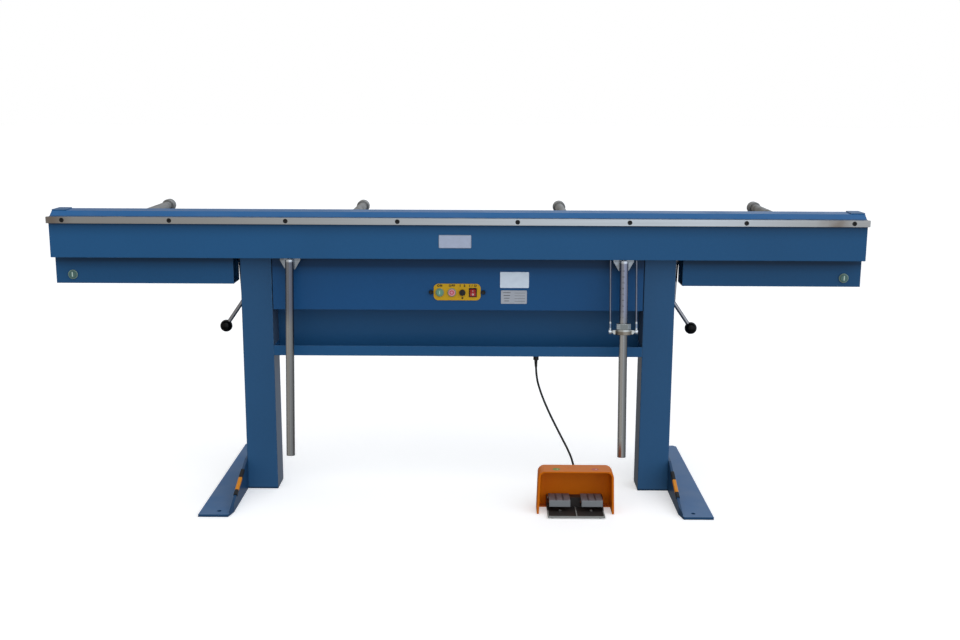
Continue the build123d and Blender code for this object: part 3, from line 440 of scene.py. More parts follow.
def machined(name, colour, shine):
    """Milled steel with painted highlights along its edges and on its bevelled flanks."""
    finish = Finish(name, BARE_METAL, 0.0016)
    lines, base = milled(finish, colour)
    across = finish.facing("X")
    # Painted highlights: the left flank most, the right flank less, and the edges in the shine colour.
    left_flank = 1 - finish.smooth(across, -0.55, -0.35)
    right_flank = finish.smooth(across, 0.35, 0.55)
    base = finish.mix(left_flank * 0.9 + right_flank * 0.25, base, BRIGHT_FLANK)
    return finish.cover(finish.mix(finish.edges(), base, shine), lines * 0.16 + 0.2, lines * FINE_RELIEF)


def yoke_steel(name, colour, shine):
    """Yellowed ring with painted highlights on its ears and on a rim at its top."""
    finish = Finish(name, BARE_METAL, 0.0012)
    lines, base = milled(finish, colour)
    # Painted highlights on the ears and along the rim at the top.
    ears = finish.smooth(abs(finish.at("X") - middle("stop_yoke").x), 0.025, 0.028)
    top = high("stop_yoke").z
    rim = finish.smooth(finish.at("Z"), top - 0.0065, top - 0.0045)
    return finish.cover(finish.mix(ears.larger(rim), base, shine), lines * 0.16 + 0.2, lines * FINE_RELIEF)


def moulded(name, colour, roughness=0.4, grain=0.00002, grain_scale=700, shine=0.4, dust=0.0):
    """Moulded plastic or rubber with a fine grain, rubbed patches and dust on top."""
    finish = Finish(name, {"IOR": 1.47, "Specular IOR Level": shine}, 0.001)
    patches = finish.noise(14, 4)
    skin_grain = finish.noise(grain_scale, 2)
    base = finish.tones(patches * 0.7 + skin_grain * 0.3, colour, 0.84, 1.14)
    rubbed = finish.mix(finish.edges() * 0.3, base, tinted(colour, 1.6))
    if dust:
        rubbed = finish.mix(finish.upward() * (patches * 0.4 + 0.8) * dust, rubbed, WARM_DUST)
    return finish.cover(rubbed, patches * 0.14 + (roughness - 0.07), skin_grain * grain)


def bezel_plastic(name, colour):
    """Pale rings, and a dark frame round the rocker."""
    finish = Finish(name, {"IOR": 1.47, "Specular IOR Level": 0.4}, 0.0006)
    frame_share = finish.band(finish.at("X"), (0.033, 0.034), (0.064, 0.065))
    patches = finish.noise(40, 3)
    pale = finish.tones(patches, colour, 0.9, 1.1)
    return finish.cover(finish.mix(frame_share, pale, ROCKER_FRAME), patches * 0.1 + 0.3)


def pedal_metal(name, colour):
    """Cast pedal whose top, with its grooves, is darker than its sides as painted shade."""
    finish = Finish(name, {"Specular IOR Level": 0.3})
    pits = finish.noise(300, 3)
    side = finish.tones(pits, colour, 0.85, 1.1)
    # Painted shade: the top darker than the sides, with darker grooves.
    worn = finish.mix(finish.noise(40, 4), DARK_TREAD, LIGHT_TREAD)
    left, right = [abs(finish.at("X") - middle(node).x) for node in ("pedal_left", "pedal_right")]
    groove = finish.band(left.smaller(right), (0.0075, 0.009), (0.013, 0.0145))
    top = finish.mix(groove * 0.7, worn, TREAD_GROOVE)
    return finish.cover(finish.mix(finish.upward(), side, top), pits * 0.2 + 0.4, pits * 0.00005)


def base_metal(name, colour):
    """Cast base: darker in the bays and on the cheeks, lighter on the lip between them and on the front."""
    finish = Finish(name, {"Specular IOR Level": 0.3})
    pits = finish.noise(220, 3)
    depth = finish.at("Y")
    lip = finish.band(finish.at("Z"), (0.0056, 0.006), (0.009, 0.011))
    lip = lip * (1 - finish.smooth(depth, -0.296, -0.292))
    front = 1 - finish.smooth(depth, -0.3798, -0.3795)
    dark = finish.mix(pits, DARK_BAY, LIGHT_BAY)
    rubbed = finish.tones(pits, colour, 0.85, 1.1)
    return finish.cover(finish.mix(lip.larger(front), dark, rubbed), pits * 0.2 + 0.4, pits * 0.00005)


def printed(name, colour):
    """Painted or printed plate with faint handling marks."""
    finish = Finish(name, {"IOR": 1.45, "Specular IOR Level": 0.35}, 0.0006)
    marks = finish.noise(60, 5)
    base = finish.tones(marks, colour, 0.88, 1.08)
    rubbed = finish.mix(finish.edges() * 0.4, base, tinted(colour, 0.6))
    return finish.cover(rubbed, marks * 0.2 + 0.32, finish.noise(900, 2) * 0.000004)


def wound_copper(name):
    """Varnished turns of flat wire, one above the other."""
    finish = Finish(name, {"Metallic": 0.7, "Coat Weight": 0.5})
    wire_height = 0.0025
    angle = finish.at("Z") * (math.tau / wire_height)
    turns = finish.node("ShaderNodeMath", {"operation": "SINE"}, {0: angle})
    varnish = finish.noise(30, 4)
    base = finish.mix(varnish, DARK_COPPER, LIGHT_COPPER)
    return finish.cover(base, varnish * 0.2 + 0.25, turns * 0.0002)


def fresh_zinc(name, colour):
    """Clean plating of small screws."""
    return zinc_plate(name, tinted(colour, 1.25), roughness=0.3, spots=0.2)


def glossy_black(name):
    """Shiny black plastic of knobs, glands and thumb screws."""
    return moulded(name, BLACK, roughness=0.2, grain=0.000002)


def blackened_steel(name):
    """Dull black steel of screws and bolts."""
    return moulded(name, BLACK, roughness=0.42, grain=0.00001)


FINISHES = {}


def finish_of(name, maker, *values, **settings):
    """Make a finish once and give it out by name."""
    if name not in FINISHES:
        FINISHES[name] = maker(name, *values, **settings)
    return FINISHES[name]


def dress(nodes, name, maker, *values, **settings):
    """Give solids, named in one line of words, their finish."""
    finish = finish_of(name, maker, *values, **settings)
    for node in nodes.split():
        solid = frame["nodes"][node]
        solid.data.materials.clear()
        solid.data.materials.append(finish)


# Mesh helpers

def skin(mesh, rings):
    """Close a row of rings into a skin, with flat ends."""
    for first, second in zip(rings, rings[1:]):
        for step, vertex in enumerate(first):
            after = (step + 1) % len(first)
            mesh.faces.new((vertex, first[after], second[after], second[step]))
    mesh.faces.new(list(reversed(rings[0])))
    mesh.faces.new(rings[-1])


def ring(mesh, centre, axis, segments, reach):
    """Points round an axis; reach gives their distance from it at an angle."""
    side = (RIGHT if abs(axis.x) < 0.9 else BACK).cross(axis).normalized()
    across = axis.cross(side)
    points = []
    for step in range(segments):
        angle = math.tau * step / segments
        spoke = side * math.cos(angle) + across * math.sin(angle)
        points.append(mesh.verts.new(centre + spoke * reach(angle)))
    return points


def turned(mesh, profile, base, axis, segments, flute=lambda angle, radius: radius):
    """Turn pairs of radius and height about an axis; flute changes the radius round the turn."""
    axis = axis.normalized()
    rings = []
    for radius, height in profile:
        rings.append(ring(mesh, base + axis * height, axis, segments, lambda angle: flute(angle, radius)))
    skin(mesh, rings)


def rounded_outline(width, height, corner, steps=6):
    """Rectangle with round corners, counter-clockwise."""
    points = []
    for quarter, (x, y) in enumerate(((1, 1), (-1, 1), (-1, -1), (1, -1))):
        for step in range(steps + 1):
            angle = math.pi / 2 * (quarter + step / steps)
            points.append((
                x * (width / 2 - corner) + corner * math.cos(angle),
                y * (height / 2 - corner) + corner * math.sin(angle)))
    return points


def face_on(point, outward, upward=UP):
    """Matrix that lays XY on a face, with Z outwards."""
    outward = Vector(outward).normalized()
    across = Vector(upward).cross(outward).normalized()
    up = outward.cross(across)
    turn = Matrix((across, up, outward)).transposed().to_4x4()
    return Matrix.Translation(point) @ turn


def lay(point, outward):
    """Function that carries local points to a face."""
    place = face_on(point, outward)
    return lambda local: place @ local


def plate(mesh, place, width, height, corner, thickness, rim, dish):
    """Plate with round corners, a raised rim and a field set in by a dish depth; the field is material 1."""
    side = (0, 0), (0, thickness * 0.7), (thickness * 0.3, thickness)
    top = (rim, thickness), (rim + dish, thickness - dish)
    rings = []
    for inset, rise in side + top:
        outline = rounded_outline(width - 2 * inset, height - 2 * inset, max(corner - inset, corner / 4))
        rings.append([mesh.verts.new(place @ Vector((x, y, rise))) for x, y in outline])
    skin(mesh, rings)
    mesh.faces.ensure_lookup_table()
    mesh.faces[-1].material_index = 1


def bar_mark(mesh, put, x, y, width, height, thickness, steps=1):
    """Thin raised bar; put carries its local points to their place."""
    bottom = y - height / 2
    top = y + height / 2
    corners = ((bottom, 0), (top, 0), (top, thickness), (bottom, thickness))
    columns = []
    for step in range(steps + 1):
        across = x - width / 2 + width * step / steps
        columns.append([mesh.verts.new(put(Vector((across, up, rise)))) for up, rise in corners])
    skin(mesh, columns)


def write(mesh, put, text, size, thickness, bold=0.0, slices=0):
    """Plain characters, centred, set wider where bold.

    Put carries their local points to their place, and slices let them bend round a pipe.
    """
    curve = bpy.data.curves.new("characters", "FONT")
    curve.body = text
    curve.size = size
    curve.extrude = thickness / 2
    curve.offset = bold * size
    curve.space_character = 1 + 4 * bold
    curve.align_x = "CENTER"
    curve.align_y = "CENTER"
    carrier = bpy.data.objects.new("characters", curve)
    data = bpy.data.meshes.new_from_object(carrier)
    characters = bmesh.new()
    characters.from_mesh(data)
    for step in range(slices):
        across = RIGHT * size * ((2 * step + 1) / slices - 1)
        whole = [*characters.verts, *characters.edges, *characters.faces]
        bmesh.ops.bisect_plane(characters, geom=whole, plane_co=across, plane_no=RIGHT)
    for vertex in characters.verts:
        vertex.co = put(vertex.co + UP * (thickness / 2))
    characters.to_mesh(data)
    characters.free()
    mesh.from_mesh(data)
    bpy.data.objects.remove(carrier)
    bpy.data.curves.remove(curve)
    bpy.data.meshes.remove(data)


def socket_screw(mesh, base, axis, radius, height):
    """Cap screw head with a hexagon socket."""
    flat = radius * 0.52
    depth = height * 0.55
    sixth = math.pi / 3

    def six_sided(angle, reach):
        return flat / math.cos((angle + sixth / 2) % sixth - sixth / 2) if reach == flat else reach

    head = [(radius, 0), (radius, height * 0.85), (radius * 0.92, height)]
    socket = [(flat, height), (flat, height - depth)]
    turned(mesh, head + socket, base, axis, 36, six_sided)


def thumb_screw(mesh, base, axis, radius, height):
    """Knurled head on a short collar, with a dished top."""
    ridges = 18
    ridge_depth = 0.0007

    def knurl(angle, reach):
        return reach + ridge_depth * math.cos(ridges * angle) if reach == radius else reach

    collar = [(radius * 0.62, 0), (radius * 0.62, height * 0.22), (radius * 0.9, height * 0.26)]
    head = [(radius, height * 0.34), (radius, height * 0.9), (radius * 0.86, height)]
    dish = [(radius * 0.6, height), (radius * 0.5, height * 0.93)]
    turned(mesh, collar + head + dish, base, axis, 4 * ridges, knurl)


SHARP_EDGE = math.radians(35)


def piece(name, mesh, body, finishes):
    """Object that rides on a body."""
    bmesh.ops.recalc_face_normals(mesh, faces=mesh.faces)
    data = bpy.data.meshes.new(name)
    mesh.to_mesh(data)
    mesh.free()
    for finish in finishes:
        data.materials.append(finish)
    data.shade_smooth()
    data.set_sharp_from_angle(angle=SHARP_EDGE)
    made = bpy.data.objects.new(name, data)
    bpy.context.scene.collection.objects.link(made)
    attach(made, body)
    return made


def low(node):
    """Lowest corner of a solid."""
    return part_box(node)[0]


def high(node):
    """Highest corner of a solid."""
    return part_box(node)[1]


def middle(node):
    """Middle of a solid's box."""
    return (low(node) + high(node)) / 2


def on_front(node, x, z, proud=0.0):
    """Point on the front of a solid."""
    return Vector((x, low(node).y - proud, z))


# Stage

FLOOR_RADIUS = 40
FLOOR_TOP = -0.0005
FLOOR_UNDERSIDE = -0.05
FLOOR_MIDDLE_RADIUS = 8
WARM_WHITE = (1, 0.97, 0.93)
COOL_WHITE = (0.94, 0.99, 1.06)
WHITE = (1, 1, 1)
SOFTBOX_WIDTH = 4.5
SOFTBOX_DEPTH = 2.5
SOFTBOX_PLACE = (0, -0.8, 4.0)
SENSOR_WIDTH = 36


class BRAKE_OT_stage(bpy.types.Operator):
    """Pale floor, soft studio light and the camera"""

    bl_idname = "brake.stage"
    bl_label = "Stage"

    def execute(self, context):
        scene = context.scene
        self.floor(scene)
        self.sky(scene, scene.brake_stage)
        self.softbox(scene, scene.brake_stage)
        self.camera(scene, scene.brake_stage)
        scene.view_settings.view_transform = "Standard"
        return {"FINISHED"}

    def floor(self, scene):
        """Wide pale disc under the feet."""
        finish = Finish("floor_pale", {"Specular IOR Level": 0.1, "Emission Strength": 0.36}, 0.0015)
        cloud = finish.noise(1.5, 3)
        pale = finish.mix(cloud, display(236, 236, 236), display(242, 242, 242))
        rim = [(FLOOR_RADIUS, FLOOR_UNDERSIDE), (FLOOR_RADIUS, FLOOR_TOP), (FLOOR_MIDDLE_RADIUS, FLOOR_TOP)]
        mesh = bmesh.new()
        turned(mesh, rim, Vector((0, 0, 0)), UP, 96)
        data = bpy.data.meshes.new("floor")
        mesh.to_mesh(data)
        mesh.free()
        data.materials.append(finish.cover(pale, cloud * 0.1 + 0.8))
        ground = bpy.data.objects.new("floor", data)
        ground.visible_diffuse = False
        ground.visible_glossy = False
        scene.collection.objects.link(ground)

    def sky(self, scene, stage):
        """Room light, bright overhead and dim at eye level, before a plain backdrop."""
        world = bpy.data.worlds.new("studio")
        world.use_nodes = True
        scene.world = world
        room = Shader(world.node_tree)
        direction = room.node("ShaderNodeTexCoord", out="Generated")
        height = room.part(direction, "Z")
        wall = room.smooth(height, -0.5, 0.0)
        overhead = room.smooth(height, 0.0, 0.9)
        sideways = room.smooth(room.part(direction, "X"), -0.35, 0.15)
        in_front = room.smooth(0 - room.part(direction, "Y"), -0.2, 0.8)
        light = stage.ground + wall * (stage.walls - stage.ground) + overhead * (stage.ceiling - stage.walls)
        lit = light * (sideways * stage.window + (1 - stage.window / 2)) * (in_front * stage.front + 0.7)
        seen = room.node("ShaderNodeLightPath", out="Is Camera Ray")
        colour = room.mix(seen, room.mix(sideways, WARM_WHITE, COOL_WHITE), WHITE)
        strength = seen * stage.backdrop + (1 - seen) * lit
        background = room.nodes["Background"]
        room.links.new(colour.socket, background.inputs["Color"])
        room.links.new(strength.socket, background.inputs["Strength"])

    def softbox(self, scene, stage):
        """Large soft light overhead, a little in front."""
        lamp = bpy.data.lights.new("softbox", "AREA")
        lamp.shape = "RECTANGLE"
        lamp.size = SOFTBOX_WIDTH
        lamp.size_y = SOFTBOX_DEPTH
        lamp.energy = stage.softbox
        box = bpy.data.objects.new("softbox", lamp)
        box.location = SOFTBOX_PLACE
        scene.collection.objects.link(box)

    def camera(self, scene, stage):
        """Camera at the photograph's place and tilt."""
        data = bpy.data.cameras.new("camera")
        data.lens = stage.lens
        data.sensor_width = SENSOR_WIDTH
        viewer = bpy.data.objects.new("camera", data)
        turn = Matrix.Rotation(stage.yaw, 4, "Z")
        turn = turn @ Matrix.Rotation(math.pi / 2 - stage.pitch, 4, "X")
        turn = turn @ Matrix.Rotation(stage.roll, 4, "Z")
        viewer.matrix_world = Matrix.Translation((stage.camera_x, stage.camera_y, stage.camera_z)) @ turn
        scene.collection.objects.link(viewer)
        scene.camera = viewer


# Foot switch cable

CABLE_ROUTE = (
    (0.2570, -0.075, 0.4370), (0.2570, -0.075, 0.3850), (0.2740, -0.083, 0.3260), (0.3025, -0.099, 0.2610),
    (0.3370, -0.123, 0.1970), (0.3685, -0.151, 0.1410), (0.3800, -0.167, 0.1085), (0.3870, -0.176, 0.0680),
    (0.3880, -0.189, 0.0370), (0.3880, -0.210, 0.0220), (0.3880, -0.230, 0.0220))
RELIEF_LENGTH = 0.024
RELIEF_RIBS = 5
RIB_HEIGHT = 0.0003
RELIEF_SIDES = 24


class BRAKE_OT_foot_cable(bpy.types.Operator):
    """Cable from the tray to the foot switch, with a strain relief at each end"""

    bl_idname = "brake.foot_cable"
    bl_label = "Foot switch cable"

    def execute(self, context):
        diameter = context.scene.brake_fittings.cable_diameter
        rubber = finish_of("cable_rubber", moulded, display(22, 22, 23), roughness=0.5, grain=0.00001)
        curve = bpy.data.curves.new("foot_switch_cable", "CURVE")
        curve.dimensions = "3D"
        spline = curve.splines.new("NURBS")
        spline.points.add(len(CABLE_ROUTE) - 1)
        for control, place in zip(spline.points, CABLE_ROUTE):
            control.co = (*place, 1)
        spline.order_u = 3
        spline.use_endpoint_u = True
        spline.resolution_u = 12
        cable = bpy.data.objects.new("foot_switch_cable", curve)
        context.scene.collection.objects.link(cable)
        line = self.centre_line(cable)
        curve.bevel_depth = diameter / 2
        curve.bevel_resolution = 5
        curve.use_fill_caps = True
        curve.materials.append(rubber)
        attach(cable, "frame")
        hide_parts("foot_cable")
        boots = [
            self.strain_relief("tray_strain_relief", line, diameter, rubber),
            self.strain_relief("switch_strain_relief", line[::-1], diameter, rubber)]
        return {"FINISHED"}

    def centre_line(self, cable):
        """Points along the cable's spline."""
        data = bpy.data.meshes.new_from_object(cable)
        points = [vertex.co.copy() for vertex in data.vertices]
        bpy.data.meshes.remove(data)
        return points

    def strain_relief(self, name, line, diameter, rubber):
        """Tapered ribbed sleeve over the first stretch of a line."""
        mesh = bmesh.new()
        stride = RELIEF_LENGTH / (8 * RELIEF_RIBS)
        walk = [line[0]]
        for here, after in zip(line, line[1:]):
            pieces = max(1, round((after - here).length / stride))
            walk += [here.lerp(after, step / pieces) for step in range(1, pieces + 1)]
        rings = []
        gone = 0.0
        for here, after in zip(walk, walk[1:]):
            if gone > RELIEF_LENGTH:
                break
            along = (after - here).normalized()
            share = gone / RELIEF_LENGTH
            reach = diameter * (0.8 - 0.2 * share) + RIB_HEIGHT * math.cos(math.tau * RELIEF_RIBS * share)
            if share > 0.97:
                reach = diameter * 0.52
            rings.append(ring(mesh, here, along, RELIEF_SIDES, lambda angle: reach))
            gone += (after - here).length
        skin(mesh, rings)
        return piece(name, mesh, "frame", [rubber])


# Finishes of the solids

class BRAKE_OT_painted_solids(bpy.types.Operator):
    """Powder coat on the frame, bed, beam, feet and clamp bar"""

    bl_idname = "brake.painted_solids"
    bl_label = "Painted solids"

    def execute(self, context):
        colours = context.scene.brake_colours
        blue = colours.machine_blue
        dress(
            "rear_cover tool_tray bed_base bed_end_blocks stop_bracket clamp_end_caps",
            "blue_coat", powder_coat, blue)
        # The heights give painted shade under the beam on the panel and the end boxes, and under the strip on
        # the beam.
        dress("front_panel", "panel_coat", powder_coat, colours.panel_blue, grime=(0.715, 0.755))
        # The end boxes get a darker copy of the machine blue as painted shade under the beam's overhang, and
        # the beam a lighter copy as painted light.
        dress("end_box_left end_box_right", "box_coat", powder_coat, tinted(blue, 0.94), grime=(0.735, 0.77))
        dress("bending_beam", "beam_coat", powder_coat, tinted(blue, 1.08), wear=0.5, grime=(0.845, 0.895))
        dress("clamp_bar", "clamp_coat", powder_coat, colours.clamp_blue, roughness=0.3, dust=0.06, wear=0.5)
        # The columns get a painted reflection on their inward sides and painted shade near the floor.
        dress(
            "column_left column_right", "column_coat", powder_coat, colours.column_blue,
            rounding=0.006, dull_sides=0.48)
        # The feet get painted shade on their front edges, the sides of their webs and their sloped edges.
        dress(
            "foot_left foot_right", "foot_coat", powder_coat, colours.foot_blue,
            roughness=0.34, dust=0.27, wear=0.2, shaded=0.6)
        return {"FINISHED"}


class BRAKE_OT_steel_solids(bpy.types.Operator):
    """Ground, plated and dark steel on the bars, pipes, stop, lift and backstop"""

    bl_idname = "brake.steel_solids"
    bl_label = "Steel solids"

    def execute(self, context):
        colours = context.scene.brake_colours
        steel = colours.bright_steel
        zinc = colours.zinc_grey
        dress("bending_strip", "strip_steel", strip_steel, steel)
        dress(
            "front_pole centre_pole rear_pole hinge_cups hinge_journals lift_pins",
            "pole_steel", ground_steel, tinted(steel, 0.8), (3, 600, 600), roughness=0.38)
        # The left pipe gets a darker copy of the zinc and a darker upper tint than the right one, as painted
        # shade.
        dress(
            "handle_left", "left_pipe_steel", pipe_steel, tinted(zinc, 1.3),
            dulled=0.72, upper_tint=display(64, 72, 96))
        dress(
            "handle_right", "right_pipe_steel", pipe_steel, tinted(zinc, 1.42),
            rust=0.85, dulled=0.75, upper_tint=display(122, 130, 162))
        dress("handle_gussets", "gusset_zinc", zinc_plate, display(138, 144, 150), roughness=0.26, spots=0.3)
        dress("stop_collar", "collar_steel", machined, display(118, 122, 120), display(226, 229, 230))
        dress("stop_yoke", "yoke_steel", yoke_steel, display(132, 125, 114), display(180, 183, 180))
        dress("link_rods", "link_steel", link_steel, display(192, 198, 202))
        dress(
            "lift_levers lift_shaft pedal_pin", "lever_steel", pipe_steel, display(150, 150, 154),
            roughness=0.16)
        collars = " ".join(f"backstop_collar_{number}" for number in range(1, 5))
        dress(f"backstop_rods {collars}", "backstop_zinc", zinc_plate, tinted(zinc, 0.85), roughness=0.46)
        dress("strip_screws foot_bolts", "black_oxide", blackened_steel)
        dress("shaft_bushes", "oiled_bronze", ground_steel, display(168, 128, 72), (300, 300, 300), stain=0.3)
        return {"FINISHED"}


class BRAKE_OT_moulded_solids(bpy.types.Operator):
    """Plastic, rubber, printed and wound finishes"""

    bl_idname = "brake.moulded_solids"
    bl_label = "Moulded solids"

    def execute(self, context):
        colours = context.scene.brake_colours
        dress("selector_knob cable_glands", "black_gloss", glossy_black)
        dress(
            "ball_knobs", "ball_black", moulded, display(6, 6, 7), roughness=0.16, grain=0.000002, shine=0.15)
        dress("edge_guard_ends", "guard_rubber", moulded, display(26, 26, 27), roughness=0.6)
        dress("edge_guard_sleeves", "sleeve_orange", moulded, display(214, 134, 20), roughness=0.4)
        dress(
            "foot_hood", "hood_orange", moulded, colours.hood_orange,
            roughness=0.5, grain=0.00004, grain_scale=500, shine=0.1, dust=0.12)
        dress("control_plate", "plate_yellow", printed, colours.plate_yellow)
        dress("start_button", "button_green", moulded, colours.start_green, roughness=0.3)
        dress(
            "end_button_left end_button_right", "button_dull_green", moulded, display(80, 114, 110),
            roughness=0.35)
        dress("stop_button", "button_pink", moulded, display(222, 150, 160), roughness=0.3)
        dress("rocker_switch", "rocker_red", moulded, colours.stop_red, roughness=0.25)
        dress("switch_bezels", "bezel_rings", bezel_plastic, display(134, 158, 144))
        dress("foot_base", "switch_casting", base_metal, display(146, 149, 146))
        dress("pedal_left pedal_right", "pedal_casting", pedal_metal, display(128, 132, 135))
        dress("slot_cover", "slot_resin", moulded, display(46, 48, 52), roughness=0.6)
        dress(
            "transformer rectifier", "core_laminations", ground_steel, display(92, 86, 80), (3, 3, 900),
            roughness=0.5)
        dress("magnet_coil", "coil_copper", wound_copper)
        return {"FINISHED"}


# Bare plates: their centres across and up, their rims and fields, and the rules on the lower one

BEAM_PLATE = (-0.008, 0.840)
UPPER_PLATE = (0.1825, 0.710)
LOWER_PLATE = (0.181, 0.654)
PLATE_RIM = 0.0012
PLATE_DISH = 0.0003
RULE_ROWS = 4
RULE_PITCH = 0.009
RULE_THICKNESS = 0.00012


class BRAKE_OT_bare_plates(bpy.types.Operator):
    """Bare plates on the beam and on the front panel"""

    bl_idname = "brake.bare_plates"
    bl_label = "Bare plates"

    def execute(self, context):
        sizes = context.scene.brake_fittings
        colours = context.scene.brake_colours
        white = finish_of("plate_white", printed, colours.blank_white)
        silver = finish_of("plate_silver", printed, display(178, 188, 210))
        rim = finish_of("plate_rim", printed, tinted(colours.blank_white, 0.4))
        grey = finish_of("plate_grey", printed, display(175, 180, 189))
        ink = finish_of("plate_ink", printed, colours.ink)
        thickness = sizes.plate_thickness
        for name, node, body, centre, width, height, border, field in (
                ("beam_plate", "bending_beam", "beam", BEAM_PLATE, 0.103, 0.042, rim, silver),
                ("panel_plate_upper", "front_panel", "frame", UPPER_PLATE, 0.093, 0.052, white, white),
                ("panel_plate_lower", "front_panel", "frame", LOWER_PLATE, 0.084, 0.044, grey, grey)):
            mesh = bmesh.new()
            place = face_on(on_front(node, *centre), -BACK)
            plate(mesh, place, width, height, sizes.plate_corner, thickness, PLATE_RIM, PLATE_DISH)
            piece(name, mesh, body, [border, field])
        mesh = bmesh.new()
        put = lay(on_front("front_panel", *LOWER_PLATE, thickness - PLATE_DISH), -BACK)
        for row in range(RULE_ROWS):
            down = RULE_PITCH * row
            word = 0.024 - 0.003 * row
            bar_mark(
                mesh, put, x=0.019, y=0.0135 - down, width=0.034, height=0.0008, thickness=RULE_THICKNESS)
            bar_mark(
                mesh, put, x=-0.023, y=0.0145 - down, width=word, height=0.0016, thickness=RULE_THICKNESS)
        piece("panel_plate_rules", mesh, "frame", [ink])
        return {"FINISHED"}


# Marks on the controls: their thickness, the weight of their strokes and their places

BUTTON_MARK_THICKNESS = 0.0002
BUTTON_MARK_WEIGHT = 0.03
ROCKER_MARK_SIZE = 0.008
PLATE_MARK_THICKNESS = 0.00015
PLATE_MARK_WEIGHT = 0.07
MARKS_BELOW_TOP = 0.0065
MARKS_ABOVE_BOTTOM = 0.0075
PLATE_SCREWS_X = (-0.0865, 0.0825)


class BRAKE_OT_control_marks(bpy.types.Operator):
    """Marks on the buttons, the rocker and the control plate, and the plate's thumb screws"""

    bl_idname = "brake.control_marks"
    bl_label = "Control marks"

    def execute(self, context):
        sizes = context.scene.brake_fittings
        ink = finish_of("plate_ink", printed, context.scene.brake_colours.ink)
        black = finish_of("black_gloss", glossy_black)
        pale = finish_of("mark_pale", printed, display(206, 226, 214))
        rosy = finish_of("mark_rosy", printed, display(186, 66, 88))
        for name, node, body, text, size, finish in (
                ("start_mark", "start_button", "start", "I", 0.013, pale),
                ("stop_mark", "stop_button", "stop", "O", 0.018, rosy),
                ("end_mark_left", "end_button_left", "end_start_left", "I", 0.020, pale),
                ("end_mark_right", "end_button_right", "end_start_right", "I", 0.020, pale)):
            mesh = bmesh.new()
            centre = middle(node)
            put = lay(on_front(node, centre.x, centre.z), -BACK)
            write(mesh, put, text, size, BUTTON_MARK_THICKNESS, BUTTON_MARK_WEIGHT)
            piece(name, mesh, body, [finish])
        self.rocker_marks(pale)
        self.plate_marks(sizes.mark_height, ink)
        mesh = bmesh.new()
        for x in PLATE_SCREWS_X:
            base = on_front("front_panel", x, middle("control_plate").z)
            thumb_screw(mesh, base, -BACK, sizes.thumb_radius, sizes.thumb_height)
        piece("plate_thumb_screws", mesh, "frame", [black])
        return {"FINISHED"}

    def rocker_marks(self, finish):
        """I and O on the two slopes of the rocker."""
        slopes = [face for face in frame["nodes"]["rocker_switch"].data.polygons if face.normal.y < -0.9]
        centre = middle("rocker_switch")
        mesh = bmesh.new()
        for text, side in (("I", 1), ("O", -1)):
            faces = [face for face in slopes if (face.center.z - centre.z) * side > 0]
            area = sum(face.area for face in faces)
            point = sum((face.center * face.area for face in faces), Vector()) / area
            normal = sum((face.normal * face.area for face in faces), Vector())
            write(mesh, lay(point, normal), text, ROCKER_MARK_SIZE, BUTTON_MARK_THICKNESS, BUTTON_MARK_WEIGHT)
        piece("rocker_marks", mesh, "rocker", [finish])

    def plate_marks(self, size, finish):
        """Plain marks beside the controls."""
        top = high("control_plate").z - MARKS_BELOW_TOP
        bottom = low("control_plate").z + MARKS_ABOVE_BOTTOM
        mesh = bmesh.new()
        for text, node, z in (
                ("ON", "start_button", top), ("OFF", "stop_button", top), ("1  2", "selector_knob", top),
                ("0", "selector_knob", bottom), ("I / O", "rocker_switch", top)):
            put = lay(on_front("control_plate", middle(node).x, z), -BACK)
            write(mesh, put, text, size, PLATE_MARK_THICKNESS, PLATE_MARK_WEIGHT)
        piece("control_plate_marks", mesh, "frame", [finish])


# Angle scale: degrees between ticks, and places round and along the pipe

TICK_STEP = 5
LONG_TICK_STEP = 15
TICK_START = -0.0150
TICK_HEIGHT = 0.0007
FIGURE_CENTRE = -0.0035
INK_THICKNESS = 0.00004
ZERO_ABOVE_COLLAR = 0.010
COLLAR_SCREW_RADIUS = 0.0042
COLLAR_SCREW_HEIGHT = 0.0022


class BRAKE_OT_stop_scale(bpy.types.Operator):
    """Bend angle scale on the right handle and the clamp screw of the stop collar"""

    bl_idname = "brake.stop_scale"
    bl_label = "Angle stop scale"

    def execute(self, context):
        sizes = context.scene.brake_fittings
        joints = {joint["name"]: joint for joint in frame["joints"]}
        axis = Vector(joints["collar_slide"]["axis"]).normalized()
        travel = joints["collar_slide"]["range_m"][1]
        full_turn = joints["beam_swing"]["range_deg"][1]
        radius = (high("handle_right").x - low("handle_right").x) / 2
        front = RIGHT.cross(axis)
        centre = middle("stop_collar")
        ink = finish_of("scale_ink", printed, context.scene.brake_colours.ink)

        def on_pipe(local):
            turn = local.x / radius
            outward = RIGHT * math.sin(turn) + front * math.cos(turn)
            return centre + axis * (ZERO_ABOVE_COLLAR + local.y) + outward * (radius + local.z)

        mesh = bmesh.new()
        for degrees in range(0, int(full_turn) + 1, TICK_STEP):
            along = travel * degrees / full_turn
            long_tick = degrees % LONG_TICK_STEP == 0
            tick = sizes.tick_length if long_tick else sizes.tick_length * 0.6
            bar_mark(mesh, on_pipe, TICK_START + tick / 2, along, tick, TICK_HEIGHT, INK_THICKNESS, 8)
            if long_tick:
                shift = Vector((FIGURE_CENTRE, along, 0))
                write(
                    mesh, lambda local: on_pipe(local + shift), str(degrees), sizes.figure_height,
                    INK_THICKNESS, slices=20)
        piece("handle_scale", mesh, "beam", [ink])
        mesh = bmesh.new()
        reach = (high("stop_collar").x - low("stop_collar").x) / 2
        socket_screw(mesh, centre - front * reach, -front, COLLAR_SCREW_RADIUS, COLLAR_SCREW_HEIGHT)
        piece("collar_screw", mesh, "collar", [finish_of("black_oxide", blackened_steel)])
        return {"FINISHED"}


